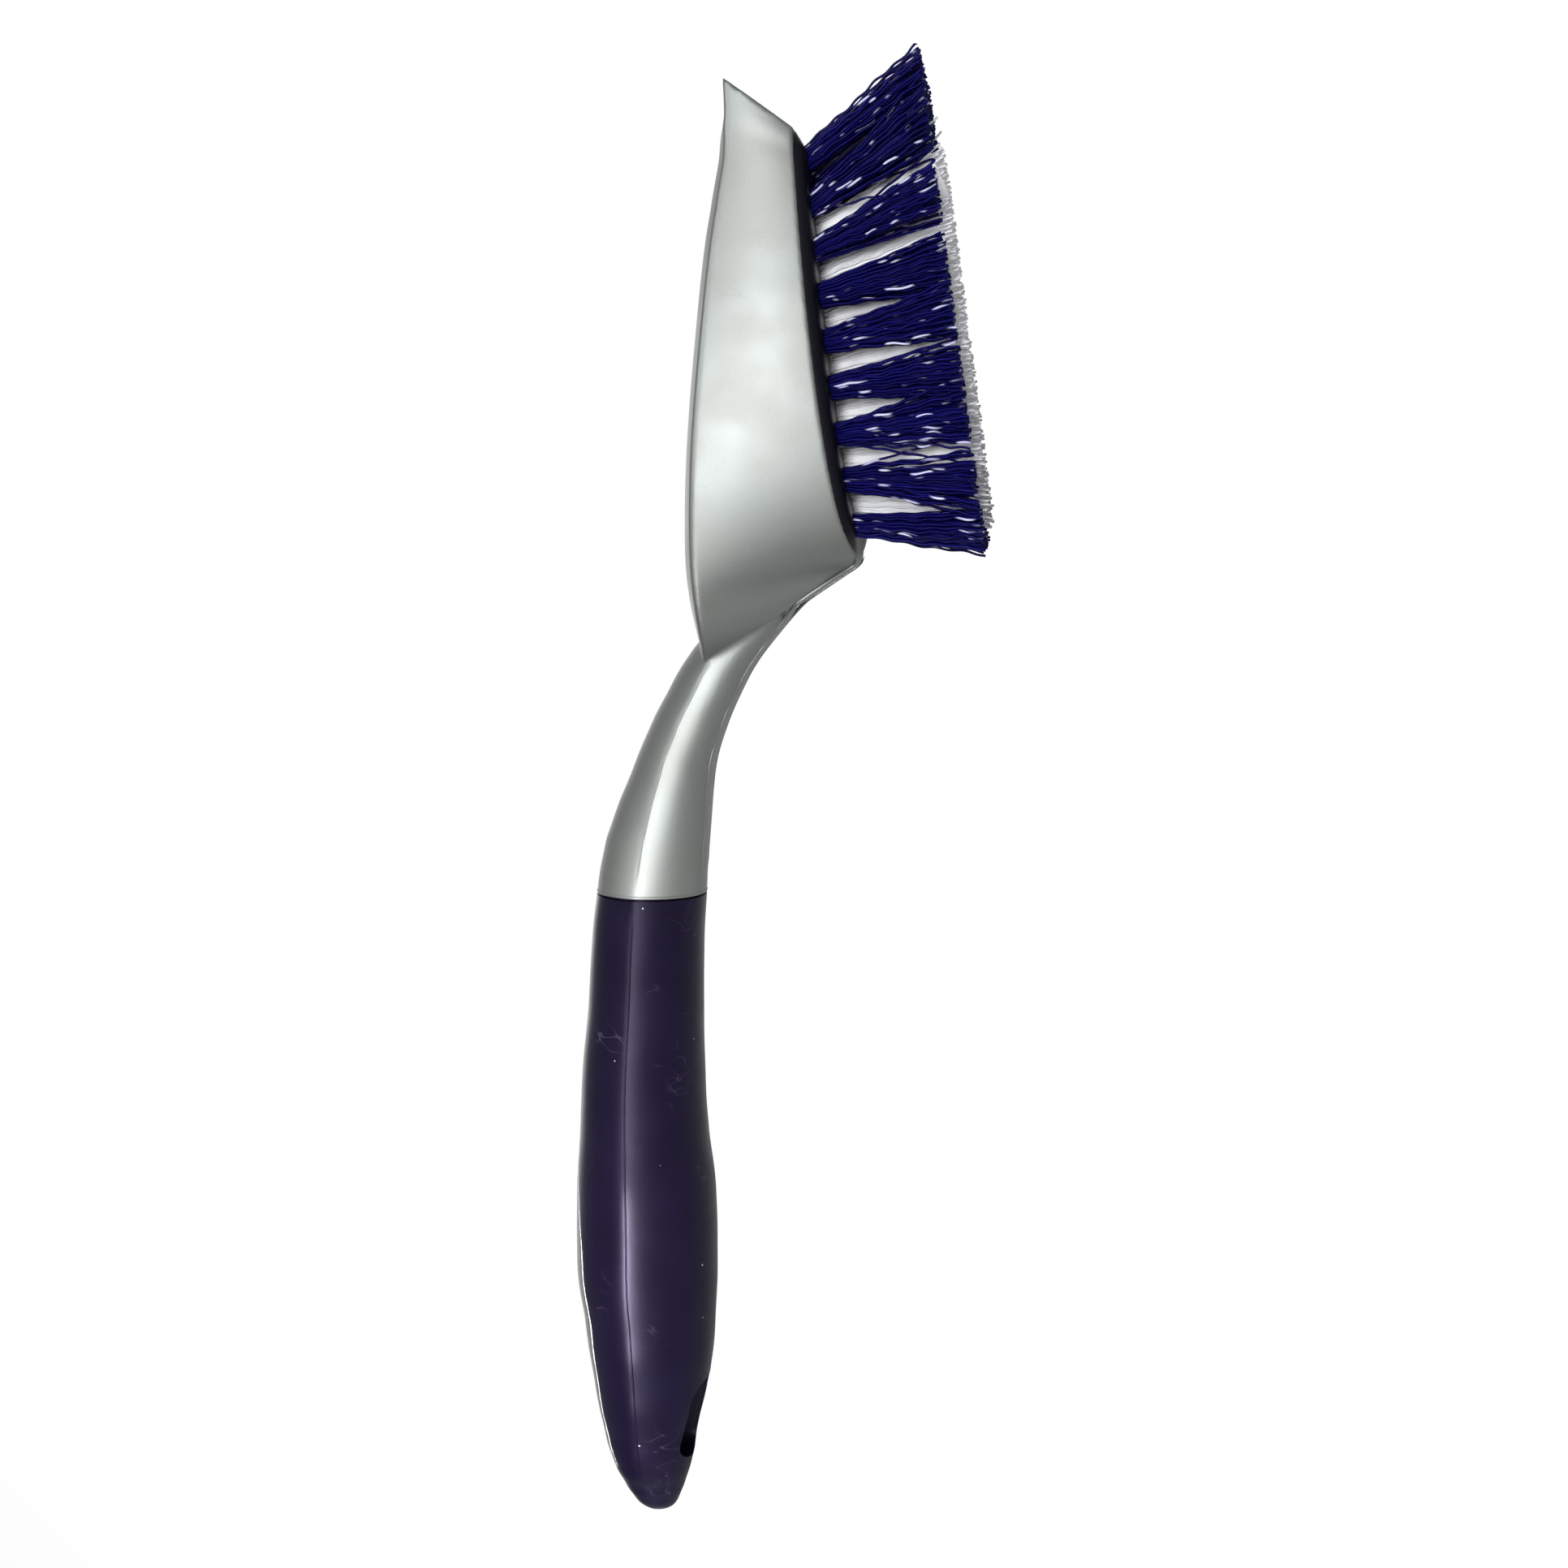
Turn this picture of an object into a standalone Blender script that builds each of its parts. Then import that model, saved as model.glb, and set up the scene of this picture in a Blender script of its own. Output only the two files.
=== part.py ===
"""Scrub brush with a scraper edge.

One silver-painted moulding is the head, the neck and the core of the handle. A soft grip is moulded
over the core, a dark block fills the mouth of the head, and the block holds the bristle tufts.

Lengths are metres. The brush is drawn along +X from the butt of the grip to the scraper's edge, with
its back towards +Z and its bristles towards -Z, and is then tipped until it stands on the bristles of
its heel and on its butt, as it does on a table.
"""

import math

import bmesh
import bpy
import numpy as np
from mathutils import Matrix, Vector

MM = 0.001
CORNER_CUT = 1 - math.sqrt(0.5)
GOLDEN_TURN = 2.4

# Overall sizes
GRIP_LENGTH = 0.1160
GRIP_DEPTH = 0.0257
GRIP_WIDTH = 0.0268
NECK_LENGTH = 0.0437
HEAD_LENGTH = 0.0958
HEAD_DEPTH = 0.0275
HEAD_WIDTH = 0.0440
CROWN_RISE = 0.0033

# Walls and clearances
CLEARANCE = 0.0003
GRIP_THICKNESS = 0.0022
HEAD_WALL = 0.0022
TOE_WALL = 0.0012
LEDGE_WIDTH = 0.0014
BACK_EDGE_RADIUS = 0.0009
RIM_RADIUS = 0.0006
CORE_LEAST_RADIUS = 0.0020
CUTTER_OVERRUN = 0.0010

# Roundness of the handle's section: 2 is an ellipse, more is squarer, less has a ridge.
WIDEST_SHARE = 0.56
GRIP_ROUNDNESS = 2.15
NECK_BACK_ROUNDNESS = 1.75
NECK_FRONT_ROUNDNESS = 2.90

# Hang slot and the silver window at the back of the grip
SLOT_FROM_BUTT = 0.0190
SLOT_LENGTH = 0.0140
SLOT_WIDTH = 0.0060
SLOT_LINING = 0.0010
SLOT_FLARE = 0.0014
SLOT_FLARE_DEPTH = 0.0030
WINDOW_FROM_BUTT = 0.0085
WINDOW_LENGTH = 0.0715
WINDOW_WIDTH = 0.0160
WINDOW_LEAST_WIDTH = 0.0004
SPINE_FOOT_HEIGHT = 0.0015

# Bristle block
BLOCK_DEPTH = 0.0090
BLOCK_PROUD = 0.0016
BLOCK_CORNER_RADIUS = 0.0036
BLOCK_EDGE_RADIUS = 0.0008

# Tufts
ROW_NAMES = ("near_outer", "near_inner", "centre", "far_inner", "far_outer")
TUFTS_IN_ROW = 9
TUFT_END_MARGIN = 0.0032
TUFT_SIDE_MARGIN = 0.0031
POCKET_DIAMETER = 0.0042
POCKET_DEPTH = 0.0065
STRANDS_IN_RING = (3, 6)
STRAIGHT_STRANDS = 4
STRAND_RING_SHARE = (0.32, 0.78)
STRAND_RADIUS = 0.00038
STRAND_WAVE = 0.00025
TUFT_SPREAD = 2.2
TOE_LEAN = math.radians(35.5)
HEEL_LEAN = math.radians(-4)
LEAN_POWER = 1.3
ROW_FAN = math.radians(4.5)
BRISTLE_DROP_AT_HEEL = 0.0230
TRIM_ANGLE = math.radians(8.2)
WHITE_PROUD = 0.0017
FLAT_CUT = 0.0005

# Mesh fineness
HANDLE_SIDES = 20
HANDLE_RINGS = 24
LEAST_SPACING = 0.35
HEAD_RINGS = 28
BACK_STOPS = (0.0, 0.32, 0.62, 0.86)
MOUTH_STOPS = 7
SLOT_SIDES = 16
POCKET_SIDES = 8
PLUG_SIDES = 6
CORNER_STEPS = 3
SHARP_ANGLE = math.radians(35)

# Outlines, in millimetres. Grip: distance from the butt, back line, front line, half-width.
GRIP_OUTLINE = (
    (0.0, 0.6, -2.4, 1.2),
    (1.0, 2.2, -3.5, 2.9),
    (3.3, 4.3, -4.7, 4.6),
    (6.0, 5.9, -5.7, 6.0),
    (10.2, 7.8, -6.9, 7.6),
    (16.6, 9.5, -8.3, 9.2),
    (26.6, 11.3, -10.2, 11.1),
    (37.4, 12.8, -11.2, 12.6),
    (50.0, 14.1, -11.6, 13.4),
    (60.0, 14.0, -11.4, 13.4),
    (72.0, 13.3, -10.1, 12.7),
    (83.0, 12.8, -9.5, 12.0),
    (95.0, 11.6, -9.3, 11.4),
    (106.0, 10.9, -9.4, 11.0),
    (116.0, 9.8, -9.9, 10.7),
)
# Neck: distance from the grip's joint, back line, front line, half-width. It runs on into the head.
NECK_OUTLINE = (
    (7.5, 8.6, -10.2, 10.4),
    (13.0, 7.0, -10.6, 10.1),
    (21.3, 3.7, -11.2, 9.6),
    (29.3, 0.4, -13.2, 9.1),
    (36.0, -3.0, -16.0, 8.7),
    (43.7, -7.6, -20.3, 8.5),
    (47.3, -10.5, -23.4, 8.5),
    (53.0, -14.0, -27.0, 8.7),
    (60.0, -18.0, -31.0, 8.8),
)
NECK_ROW_AT_HEAD = 5
# Head, from the scraper's edge to the crease at the neck, measured from where the neck meets the head:
# back edge along and up, front edge along and up, half-width, crown of the back.
HEAD_OUTLINE = (
    (95.8, -1.6, 87.4, -13.2, 17.0, 0.0),
    (90.3, -1.85, 85.2, -13.3, 17.4, 0.0),
    (88.3, -1.9, 83.8, -13.4, 17.5, 1.7),
    (84.3, -2.0, 81.3, -13.6, 17.8, 2.7),
    (76.2, -1.05, 74.3, -14.2, 18.5, 3.2),
    (64.3, 0.6, 63.8, -15.2, 19.6, 3.3),
    (48.3, 2.0, 49.5, -16.8, 21.1, 3.3),
    (34.3, 3.1, 35.9, -18.8, 22.0, 3.3),
    (24.3, 3.45, 24.8, -20.9, 21.5, 3.3),
    (16.8, 3.6, 18.9, -22.4, 18.4, 3.2),
    (12.0, 3.7, 16.2, -23.2, 14.6, 3.1),
    (11.0, 3.7, 15.6, -22.9, 14.2, 3.0),
    (6.3, 3.6, 12.9, -18.9, 12.8, 2.8),
    (2.3, 3.4, 9.6, -13.9, 11.0, 2.3),
    (0.0, 3.0, 7.3, -11.4, 9.0, 1.9),
    (-2.2, 1.9, 5.5, -9.2, 6.8, 1.0),
)
HEAD_ROW_AT_HEEL = 10
# Window at the back of the grip: distance from its lower end, half-width.
WINDOW_OUTLINE = (
    (0.0, 2.4),
    (0.8, 4.4),
    (2.4, 5.4),
    (6.0, 5.8),
    (13.5, 6.5),
    (23.0, 7.5),
    (31.5, 8.0),
    (39.5, 7.7),
    (47.5, 6.7),
    (55.5, 5.2),
    (63.5, 3.1),
    (71.5, 0.4),
)


def smooth(knots, values, at):
    """Cubic through the values that never overshoots them."""
    knots, values, at = np.asarray(knots), np.asarray(values), np.asarray(at)
    step = np.diff(knots)
    rise = np.diff(values) / step
    slope = np.concatenate([rise[:1], np.zeros(len(knots) - 2), rise[-1:]])
    turning = rise[:-1] * rise[1:] <= 0
    mean = 2 * rise[:-1] * rise[1:] / np.where(turning, 1, rise[:-1] + rise[1:])
    slope[1:-1] = np.where(turning, 0, mean)
    i = np.clip(np.searchsorted(knots, at, side="right") - 1, 0, len(step) - 1)
    t = (at - knots[i]) / step[i]
    start = values[i] + step[i] * slope[i] * t
    end = values[i + 1] + step[i] * slope[i + 1] * (t - 1)
    blend = t * t * (3 - 2 * t)
    return start * (1 - blend) + end * blend


class Handle:
    """Lines of the grip and the neck in one run from the butt into the head."""

    def __init__(self):
        grip = np.array(GRIP_OUTLINE) * MM
        neck = np.array(NECK_OUTLINE) * MM
        height = GRIP_DEPTH / (grip[:, 1] - grip[:, 2]).max()
        width = GRIP_WIDTH / 2 / grip[:, 3].max()
        grip[:, 0] *= GRIP_LENGTH / grip[-1, 0]
        neck[:, 0] = GRIP_LENGTH + neck[:, 0] * NECK_LENGTH / neck[NECK_ROW_AT_HEAD, 0]
        self.rows = np.concatenate([grip, neck])
        self.rows[:, 1:3] *= height
        self.rows[:, 3] *= width

    def at(self, x):
        """Back line, front line and half-width at a distance from the butt."""
        return [float(smooth(self.rows[:, 0], self.rows[:, k], x)) for k in (1, 2, 3)]

    def head_datum(self):
        """The point on the neck's centre line from which the head is drawn."""
        x = GRIP_LENGTH + NECK_LENGTH
        back, front, _ = self.at(x)
        return x, (back + front) / 2


class Head:
    """Stations of the head from the scraper's edge to the crease, and the rim that they end on."""

    def __init__(self, datum):
        rows = np.array(HEAD_OUTLINE) * MM
        along = HEAD_LENGTH / rows[0, 0]
        height = HEAD_DEPTH / (rows[:, 1] - rows[:, 3]).max()
        rows[:, 0] = datum[0] + rows[:, 0] * along
        rows[:, 2] = datum[0] + rows[:, 2] * along
        rows[:, 1] = datum[1] + rows[:, 1] * height
        rows[:, 3] = datum[1] + rows[:, 3] * height
        rows[:, 4] *= HEAD_WIDTH / 2 / rows[:, 4].max()
        rows[:, 5] *= CROWN_RISE / rows[:, 5].max()
        self.rows = rows
        self.rim = rows[: HEAD_ROW_AT_HEEL + 1][::-1]
        self.toe_end = rows[0, 2] - TOE_WALL
        self.heel_end = rows[HEAD_ROW_AT_HEEL, 2] + HEAD_WALL

    def stations(self, count):
        """The drawn stations with the smooth ones between them."""
        knots = np.arange(len(self.rows), dtype=float)
        at = np.unique(np.concatenate([knots, np.linspace(0, knots[-1], count)]))
        return np.stack([smooth(knots, self.rows[:, k], at) for k in range(6)], axis=1)

    def rim_height(self, x):
        return float(smooth(self.rim[:, 2], self.rim[:, 3], x))

    def rim_half(self, x):
        return float(smooth(self.rim[:, 2], self.rim[:, 4], x))

    def back_edge(self, x):
        """Height of the back's edge and crown of the back."""
        knots = self.rows[::-1, 0]
        return [float(smooth(knots, self.rows[::-1, k], x)) for k in (1, 5)]


HANDLE = Handle()
HEAD = Head(HANDLE.head_datum())


def start_collections():
    """Empties the scene and makes the two collections."""
    for obj in list(bpy.data.objects):
        bpy.data.objects.remove(obj)
    made = []
    for name in ("scrub_brush", "cutters"):
        collection = bpy.data.collections.new(name)
        bpy.context.scene.collection.children.link(collection)
        made.append(collection)
    return made


PARTS, CUTTERS = start_collections()


def material(name, colour, roughness, metallic=0.0):
    made = bpy.data.materials.new(name)
    made.use_nodes = True
    shader = made.node_tree.nodes["Principled BSDF"]
    shader.inputs["Base Color"].default_value = (*colour, 1)
    shader.inputs["Roughness"].default_value = roughness
    shader.inputs["Metallic"].default_value = metallic
    return made


SILVER = material("silver_paint", (0.55, 0.58, 0.57), 0.35, 0.7)
PURPLE = material("purple_soft_grip", (0.016, 0.010, 0.030), 0.45)
BLACK = material("dark_block_plastic", (0.006, 0.006, 0.012), 0.15)
BLUE = material("blue_bristle", (0.018, 0.010, 0.200), 0.35)
WHITE = material("white_bristle", (0.72, 0.74, 0.82), 0.40)


def add_object(name, bm, look=None):
    """A part with this look or, with none, a helper that isn't drawn."""
    mesh = bpy.data.meshes.new(name)
    bmesh.ops.recalc_face_normals(bm, faces=bm.faces)
    bm.to_mesh(mesh)
    bm.free()
    obj = bpy.data.objects.new(name, mesh)
    if look:
        PARTS.objects.link(obj)
        mesh.materials.append(look)
    else:
        CUTTERS.objects.link(obj)
        obj.hide_render = True
        obj.display_type = "WIRE"
    return obj


def add_loft(bm, rings):
    """Skins rings that have the same number of points and caps both ends."""
    made = [[bm.verts.new(point) for point in ring] for ring in rings]
    for first, second in zip(made, made[1:]):
        for i in range(len(first)):
            j = (i + 1) % len(first)
            bm.faces.new((first[i], first[j], second[j], second[i]))
    bm.faces.new(made[0])
    bm.faces.new(made[-1])


def loft(name, rings, look=None):
    bm = bmesh.new()
    add_loft(bm, rings)
    return add_object(name, bm, look)


def boolean(obj, operation, other):
    modifier = obj.modifiers.new(f"{operation.lower()}_{other.name}", "BOOLEAN")
    modifier.operation = operation
    modifier.solver = "EXACT"
    modifier.object = other


def mirrored(half):
    """A closed ring from its half at +Y, whose first and last points lie on the middle plane."""
    return half + [(x, -y, z) for x, y, z in half[-2:0:-1]]


def handle_ring(x, inset=0.0):
    """A rounded section of the handle, widest a little towards its back, with a peaked back at the neck."""
    back, front, half = HANDLE.at(x)
    widest = front + (back - front) * WIDEST_SHARE
    along_neck = min(max((x - GRIP_LENGTH) / NECK_LENGTH, 0.0), 1.0)
    back_power = GRIP_ROUNDNESS + (NECK_BACK_ROUNDNESS - GRIP_ROUNDNESS) * along_neck
    front_power = GRIP_ROUNDNESS + (NECK_FRONT_ROUNDNESS - GRIP_ROUNDNESS) * along_neck
    ring = []
    for i in range(HANDLE_SIDES):
        angle = math.pi / 2 - 2 * math.pi * i / HANDLE_SIDES
        across, up = math.cos(angle), math.sin(angle)
        power = back_power if up > 0 else front_power
        reach = (back - widest if up > 0 else widest - front) - inset
        y = math.copysign(abs(across) ** (2 / power), across) * (half - inset)
        z = widest + math.copysign(abs(up) ** (2 / power), up) * reach
        ring.append((x, y, z))
    return ring


def handle_stops(start, end, count):
    """Ring places from start to end: the outline's own rows and even steps between them."""
    rows = [x for x in HANDLE.rows[:, 0] if start < x < end]
    even = np.linspace(start, end, count)
    spare = (end - start) / count * LEAST_SPACING
    kept = [x for x in even if all(abs(x - row) > spare for row in rows)]
    return sorted({start, end, *rows, *kept})


def core_end():
    """The core starts where the grip is thick enough to hold it."""
    wanted = GRIP_THICKNESS + CLEARANCE + CORE_LEAST_RADIUS
    for x in np.linspace(0, GRIP_LENGTH / 4, 60):
        back, front, half = HANDLE.at(float(x))
        if min(back - front, 2 * half) / 2 > wanted:
            return float(x)
    return GRIP_LENGTH / 4


def head_ring(edge_x, edge_z, front_x, front_z, half, crown):
    """A section of the head: crowned back, rounded back edge, straight side, rounded rim."""
    edge, front = Vector((edge_x, 0, edge_z)), Vector((front_x, 0, front_z))
    down = (front - edge).normalized()
    deep = (front - edge).length
    points = []
    for share in BACK_STOPS:
        points.append(edge + Vector((0, half * share, crown * (1 - share**2))))
    radius = BACK_EDGE_RADIUS
    shoulder = crown * (1 - (1 - radius / half) ** 2)
    points.append(edge + Vector((0, half - radius, shoulder)))
    points.append(edge + Vector((0, half - CORNER_CUT * radius, 0)) + down * CORNER_CUT * radius)
    points.append(edge + Vector((0, half, 0)) + down * radius)
    points.append(edge + Vector((0, half, 0)) + down * deep * 0.5)
    points.append(front + Vector((0, half, 0)) - down * RIM_RADIUS)
    points.append(front + Vector((0, half - RIM_RADIUS, 0)))
    points.append(front)
    return mirrored([tuple(point) for point in points])


def corner_stops(start, end, radius):
    """Places along a plan with round corners, each with how far the side is drawn in there."""
    stops = []
    for i in range(CORNER_STEPS + 1):
        angle = math.pi / 2 * i / CORNER_STEPS
        stops.append((radius * (1 - math.cos(angle)), radius * (1 - math.sin(angle))))
    middle = np.linspace(start + radius, end - radius, MOUTH_STOPS + 2)[1:-1]
    low = [(start + ahead, drawn) for ahead, drawn in stops]
    high = [(end - ahead, drawn) for ahead, drawn in reversed(stops)]
    return low + [(float(x), 0.0) for x in middle] + high


def mouth_prism(inset, above_rim, below_rim, edge_radius=0.0):
    """Rings of a slab that follows the mouth of the head, drawn in by inset all round."""
    rings = []
    for x, drawn in corner_stops(HEAD.heel_end + inset, HEAD.toe_end - inset, BLOCK_CORNER_RADIUS):
        half = HEAD.rim_half(x) - HEAD_WALL - inset - drawn
        rim = HEAD.rim_height(x)
        top, bottom = rim + above_rim, rim - below_rim
        ring = [(x, 0, top), (x, half, top)]
        if edge_radius:
            ring.append((x, half, bottom + edge_radius))
            cut = CORNER_CUT * edge_radius
            ring.append((x, half - cut, bottom + cut))
            ring.append((x, half - edge_radius, bottom))
        else:
            ring.append((x, half, bottom))
        ring.append((x, 0, bottom))
        rings.append(mirrored(ring))
    return rings


def hollow_rings():
    """The empty space in the head above the block, with a ledge all round for the block to sit on."""
    inset = LEDGE_WIDTH
    rings = []
    for x, drawn in corner_stops(HEAD.heel_end + inset, HEAD.toe_end - inset, BLOCK_CORNER_RADIUS):
        half = HEAD.rim_half(x) - HEAD_WALL - inset - drawn
        edge, crown = HEAD.back_edge(x)
        top = edge - HEAD_WALL
        bottom = HEAD.rim_height(x) + BLOCK_DEPTH - CUTTER_OVERRUN
        arch = [(x, half * s, top + crown * (1 - s * s)) for s in (0.0, 0.4, 0.75, 1.0)]
        rings.append(mirrored(arch + [(x, half, bottom), (x, 0, bottom)]))
    return rings


def slot_ring(grow, height):
    """A stadium round the hang slot, grown on all sides, at a height that may change along the handle."""
    half_width = SLOT_WIDTH / 2 + grow
    half_run = (SLOT_LENGTH - SLOT_WIDTH) / 2
    ring = []
    for i in range(SLOT_SIDES):
        angle = 2 * math.pi * (i + 0.5) / SLOT_SIDES
        x = SLOT_FROM_BUTT + math.copysign(half_run, math.cos(angle)) + half_width * math.cos(angle)
        ring.append((x, half_width * math.sin(angle), height(x)))
    return ring


def slot_prism(grow):
    """A straight stadium right through the handle."""
    return [slot_ring(grow, lambda x: -GRIP_DEPTH), slot_ring(grow, lambda x: GRIP_DEPTH)]


def slot_cutter():
    """The hang slot with its mouth at the front opened out over the flare's depth."""
    rings = [slot_ring(SLOT_FLARE, lambda x: -GRIP_DEPTH)]
    for deep, wide in ((0.0, 1.0), (0.5, 0.72), (1.0, 0.28), (1.6, 0.0)):
        under = SLOT_FLARE_DEPTH * deep
        rings.append(slot_ring(SLOT_FLARE * wide, lambda x, under=under: HANDLE.at(x)[1] + under))
    rings.append(slot_ring(0.0, lambda x: GRIP_DEPTH))
    return rings


def window_prism(shrink):
    """A drop-shaped column above the middle of the grip."""
    rows = np.array(WINDOW_OUTLINE) * MM
    rows[:, 0] *= WINDOW_LENGTH / rows[-1, 0]
    rows[:, 1] *= WINDOW_WIDTH / 2 / rows[:, 1].max()
    rows[0, 0] += shrink
    rows[-1, 0] -= shrink * 3
    half = [(WINDOW_FROM_BUTT + x, max(y - shrink, WINDOW_LEAST_WIDTH / 2)) for x, y in rows]
    outline = half + [(x, -y) for x, y in reversed(half)]
    return [[(x, y, z) for x, y in outline] for z in (SPINE_FOOT_HEIGHT, GRIP_DEPTH)]


def make_body():
    """Head, neck and core, cut out for the block and the lining of the hang slot."""
    far = HANDLE.rows[-1, 0]
    joint = GRIP_LENGTH + CLEARANCE
    inset = GRIP_THICKNESS + CLEARANCE
    core = [handle_ring(x, inset) for x in handle_stops(core_end(), joint, HANDLE_RINGS // 2)]
    neck = [handle_ring(x) for x in handle_stops(joint, far, HANDLE_RINGS // 2)]
    body = loft("body_moulding", [head_ring(*row) for row in HEAD.stations(HEAD_RINGS)], SILVER)
    boolean(body, "UNION", loft("neck_and_core", core + neck))
    spine = loft("spine_blank", window_prism(CLEARANCE))
    boolean(spine, "INTERSECT", grip_form("spine_surface"))
    boolean(body, "UNION", spine)
    recess = mouth_prism(0.0, BLOCK_DEPTH + CLEARANCE, BLOCK_DEPTH / 2)
    boolean(body, "DIFFERENCE", loft("mouth_recess", recess))
    boolean(body, "DIFFERENCE", loft("head_hollow", hollow_rings()))
    boolean(body, "DIFFERENCE", loft("core_slot", slot_prism(SLOT_LINING + CLEARANCE)))
    return body


def grip_form(name, look=None):
    """The grip's outer form, solid."""
    return loft(name, [handle_ring(x) for x in handle_stops(0.0, GRIP_LENGTH, HANDLE_RINGS)], look)


def make_grip():
    """The soft sleeve: hollow over the core, open at its back over the spine, and lining the slot."""
    grip = grip_form("grip_sleeve", PURPLE)
    stops = handle_stops(core_end() - CLEARANCE, GRIP_LENGTH + CUTTER_OVERRUN, HANDLE_RINGS // 2)
    boolean(grip, "DIFFERENCE", loft("core_space", [handle_ring(x, GRIP_THICKNESS) for x in stops]))
    boolean(grip, "DIFFERENCE", loft("back_window", window_prism(0.0)))
    lining = loft("slot_lining", slot_prism(SLOT_LINING))
    boolean(lining, "INTERSECT", grip_form("lining_surface"))
    boolean(grip, "UNION", lining)
    boolean(grip, "DIFFERENCE", loft("hang_slot", slot_cutter()))
    return grip


def tuft_places():
    """Name, foot on the block's face, direction and colour of each tuft."""
    first, last = HEAD.toe_end - TUFT_END_MARGIN, HEAD.heel_end + TUFT_END_MARGIN
    pitch = (first - last) / (TUFTS_IN_ROW - 1)
    places = []
    for row, title in zip(range(-2, 3), ROW_NAMES):
        staggered = row in (-1, 1)
        for i in range(TUFTS_IN_ROW - staggered):
            x = first - pitch * (i + 0.5 * staggered)
            outermost = HEAD.rim_half(x) - HEAD_WALL - TUFT_SIDE_MARGIN
            foot = Vector((x, outermost * row / 2, HEAD.rim_height(x) - BLOCK_PROUD))
            share = (x - last) / (first - last)
            lean = HEEL_LEAN + (TOE_LEAN - HEEL_LEAN) * share**LEAN_POWER
            way = Vector((math.tan(lean), math.tan(ROW_FAN * row), -1)).normalized()
            blue = row in (-2, 2) or i == 0 or (row == 0 and i in (1, TUFTS_IN_ROW - 1))
            places.append((f"tuft_{title}_{i + 1}", foot, way, blue))
    return places


def trim_plane(proud):
    """A point and the normal of the surface that the tips are trimmed to."""
    heel = HEAD.heel_end - TUFT_END_MARGIN / 4
    point = Vector((heel, 0, HEAD.rim_height(heel) - BRISTLE_DROP_AT_HEEL - proud))
    return point, Vector((math.sin(TRIM_ANGLE), 0, -math.cos(TRIM_ANGLE)))


def floor_plane():
    """A point and the normal of the floor: it cuts the heel's tips flat and touches the butt."""
    tip = trim_plane(0.0)[0] + Vector((0, 0, FLAT_CUT))
    slope = -math.inf
    for x in handle_stops(0.0, GRIP_LENGTH, HANDLE_RINGS):
        if x < SLOT_FROM_BUTT - SLOT_LENGTH / 2 - SLOT_FLARE:
            front = handle_ring(x)[HANDLE_SIDES // 2][2]
            slope = max(slope, (front - tip.z) / (x - tip.x))
    return tip, Vector((slope, 0, -1)).normalized()


FLOOR_POINT, FLOOR_NORMAL = floor_plane()


def reach(start, way, planes):
    """How far from start along way the nearest of the planes lies."""
    return min((point - start).dot(normal) / way.dot(normal) for point, normal in planes)


def strand_offsets():
    """Where the strands of a tuft stand, as shares of its radius."""
    offsets = []
    for count, share in zip(STRANDS_IN_RING, STRAND_RING_SHARE):
        for i in range(count):
            angle = 2 * math.pi * (i + 0.25 * count) / count
            offsets.append((share * math.cos(angle), share * math.sin(angle)))
    return offsets


def across(way):
    """Two directions square to a tuft's own."""
    side = Vector((0, 1, 0)).cross(way).normalized()
    return side, way.cross(side)


def plug(bm, foot, way, radius, start, end, sides):
    """A round plug along way, from start to end measured from the foot."""
    turn = way.to_track_quat("Z", "Y").to_matrix().to_4x4()
    place = Matrix.Translation(foot + way * (start + end) / 2) @ turn
    bmesh.ops.create_cone(
        bm, cap_ends=True, segments=sides, radius1=radius, radius2=radius, depth=end - start, matrix=place
    )


def strand_rings(foot, way, offset, radius, proud, wave, curly):
    """Three-sided rings of one strand, from inside the plug to its trimmed tip, bent midway if curly."""
    side, other = across(way)
    spread = radius * TUFT_SPREAD
    root = foot + (side * offset[0] + other * offset[1]) * radius - way * CUTTER_OVERRUN
    length = reach(foot, way, [trim_plane(proud), (FLOOR_POINT, FLOOR_NORMAL)])
    tip = foot + (side * offset[0] + other * offset[1]) * spread + way * length
    run = (tip - root).normalized()
    corners = []
    for i in range(3):
        angle = 2 * math.pi * i / 3 + wave
        corners.append((side * math.cos(angle) + other * math.sin(angle)) * STRAND_RADIUS)
    bend = (side * math.cos(wave) + other * math.sin(wave)) * STRAND_WAVE
    middle = root.lerp(tip, 0.5)
    end = []
    for corner in corners:
        start = middle + corner
        end.append(start + run * reach(start, run, [trim_plane(proud), (FLOOR_POINT, FLOOR_NORMAL)]))
    bent = [[middle + bend + c for c in corners]] if curly else []
    return [[root + c for c in corners], *bent, end]


def make_tuft(name, foot, way, blue, number):
    """A bundle: its root plug in the block and the strands that stand on it."""
    radius = POCKET_DIAMETER / 2 - CLEARANCE
    bm = bmesh.new()
    plug(bm, foot, way, radius, CLEARANCE - POCKET_DEPTH, -CLEARANCE, PLUG_SIDES)
    tuft = add_object(name, bm, BLUE if blue else WHITE)
    strands = bmesh.new()
    offsets = strand_offsets()
    for i, offset in enumerate(offsets):
        wave = GOLDEN_TURN * (number * len(offsets) + i)
        proud = 0.0 if blue else WHITE_PROUD
        curly = i >= STRAIGHT_STRANDS
        add_loft(strands, strand_rings(foot, way, offset, radius, proud, wave, curly))
    boolean(tuft, "UNION", add_object(f"{name}_strands", strands))
    return tuft


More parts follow.
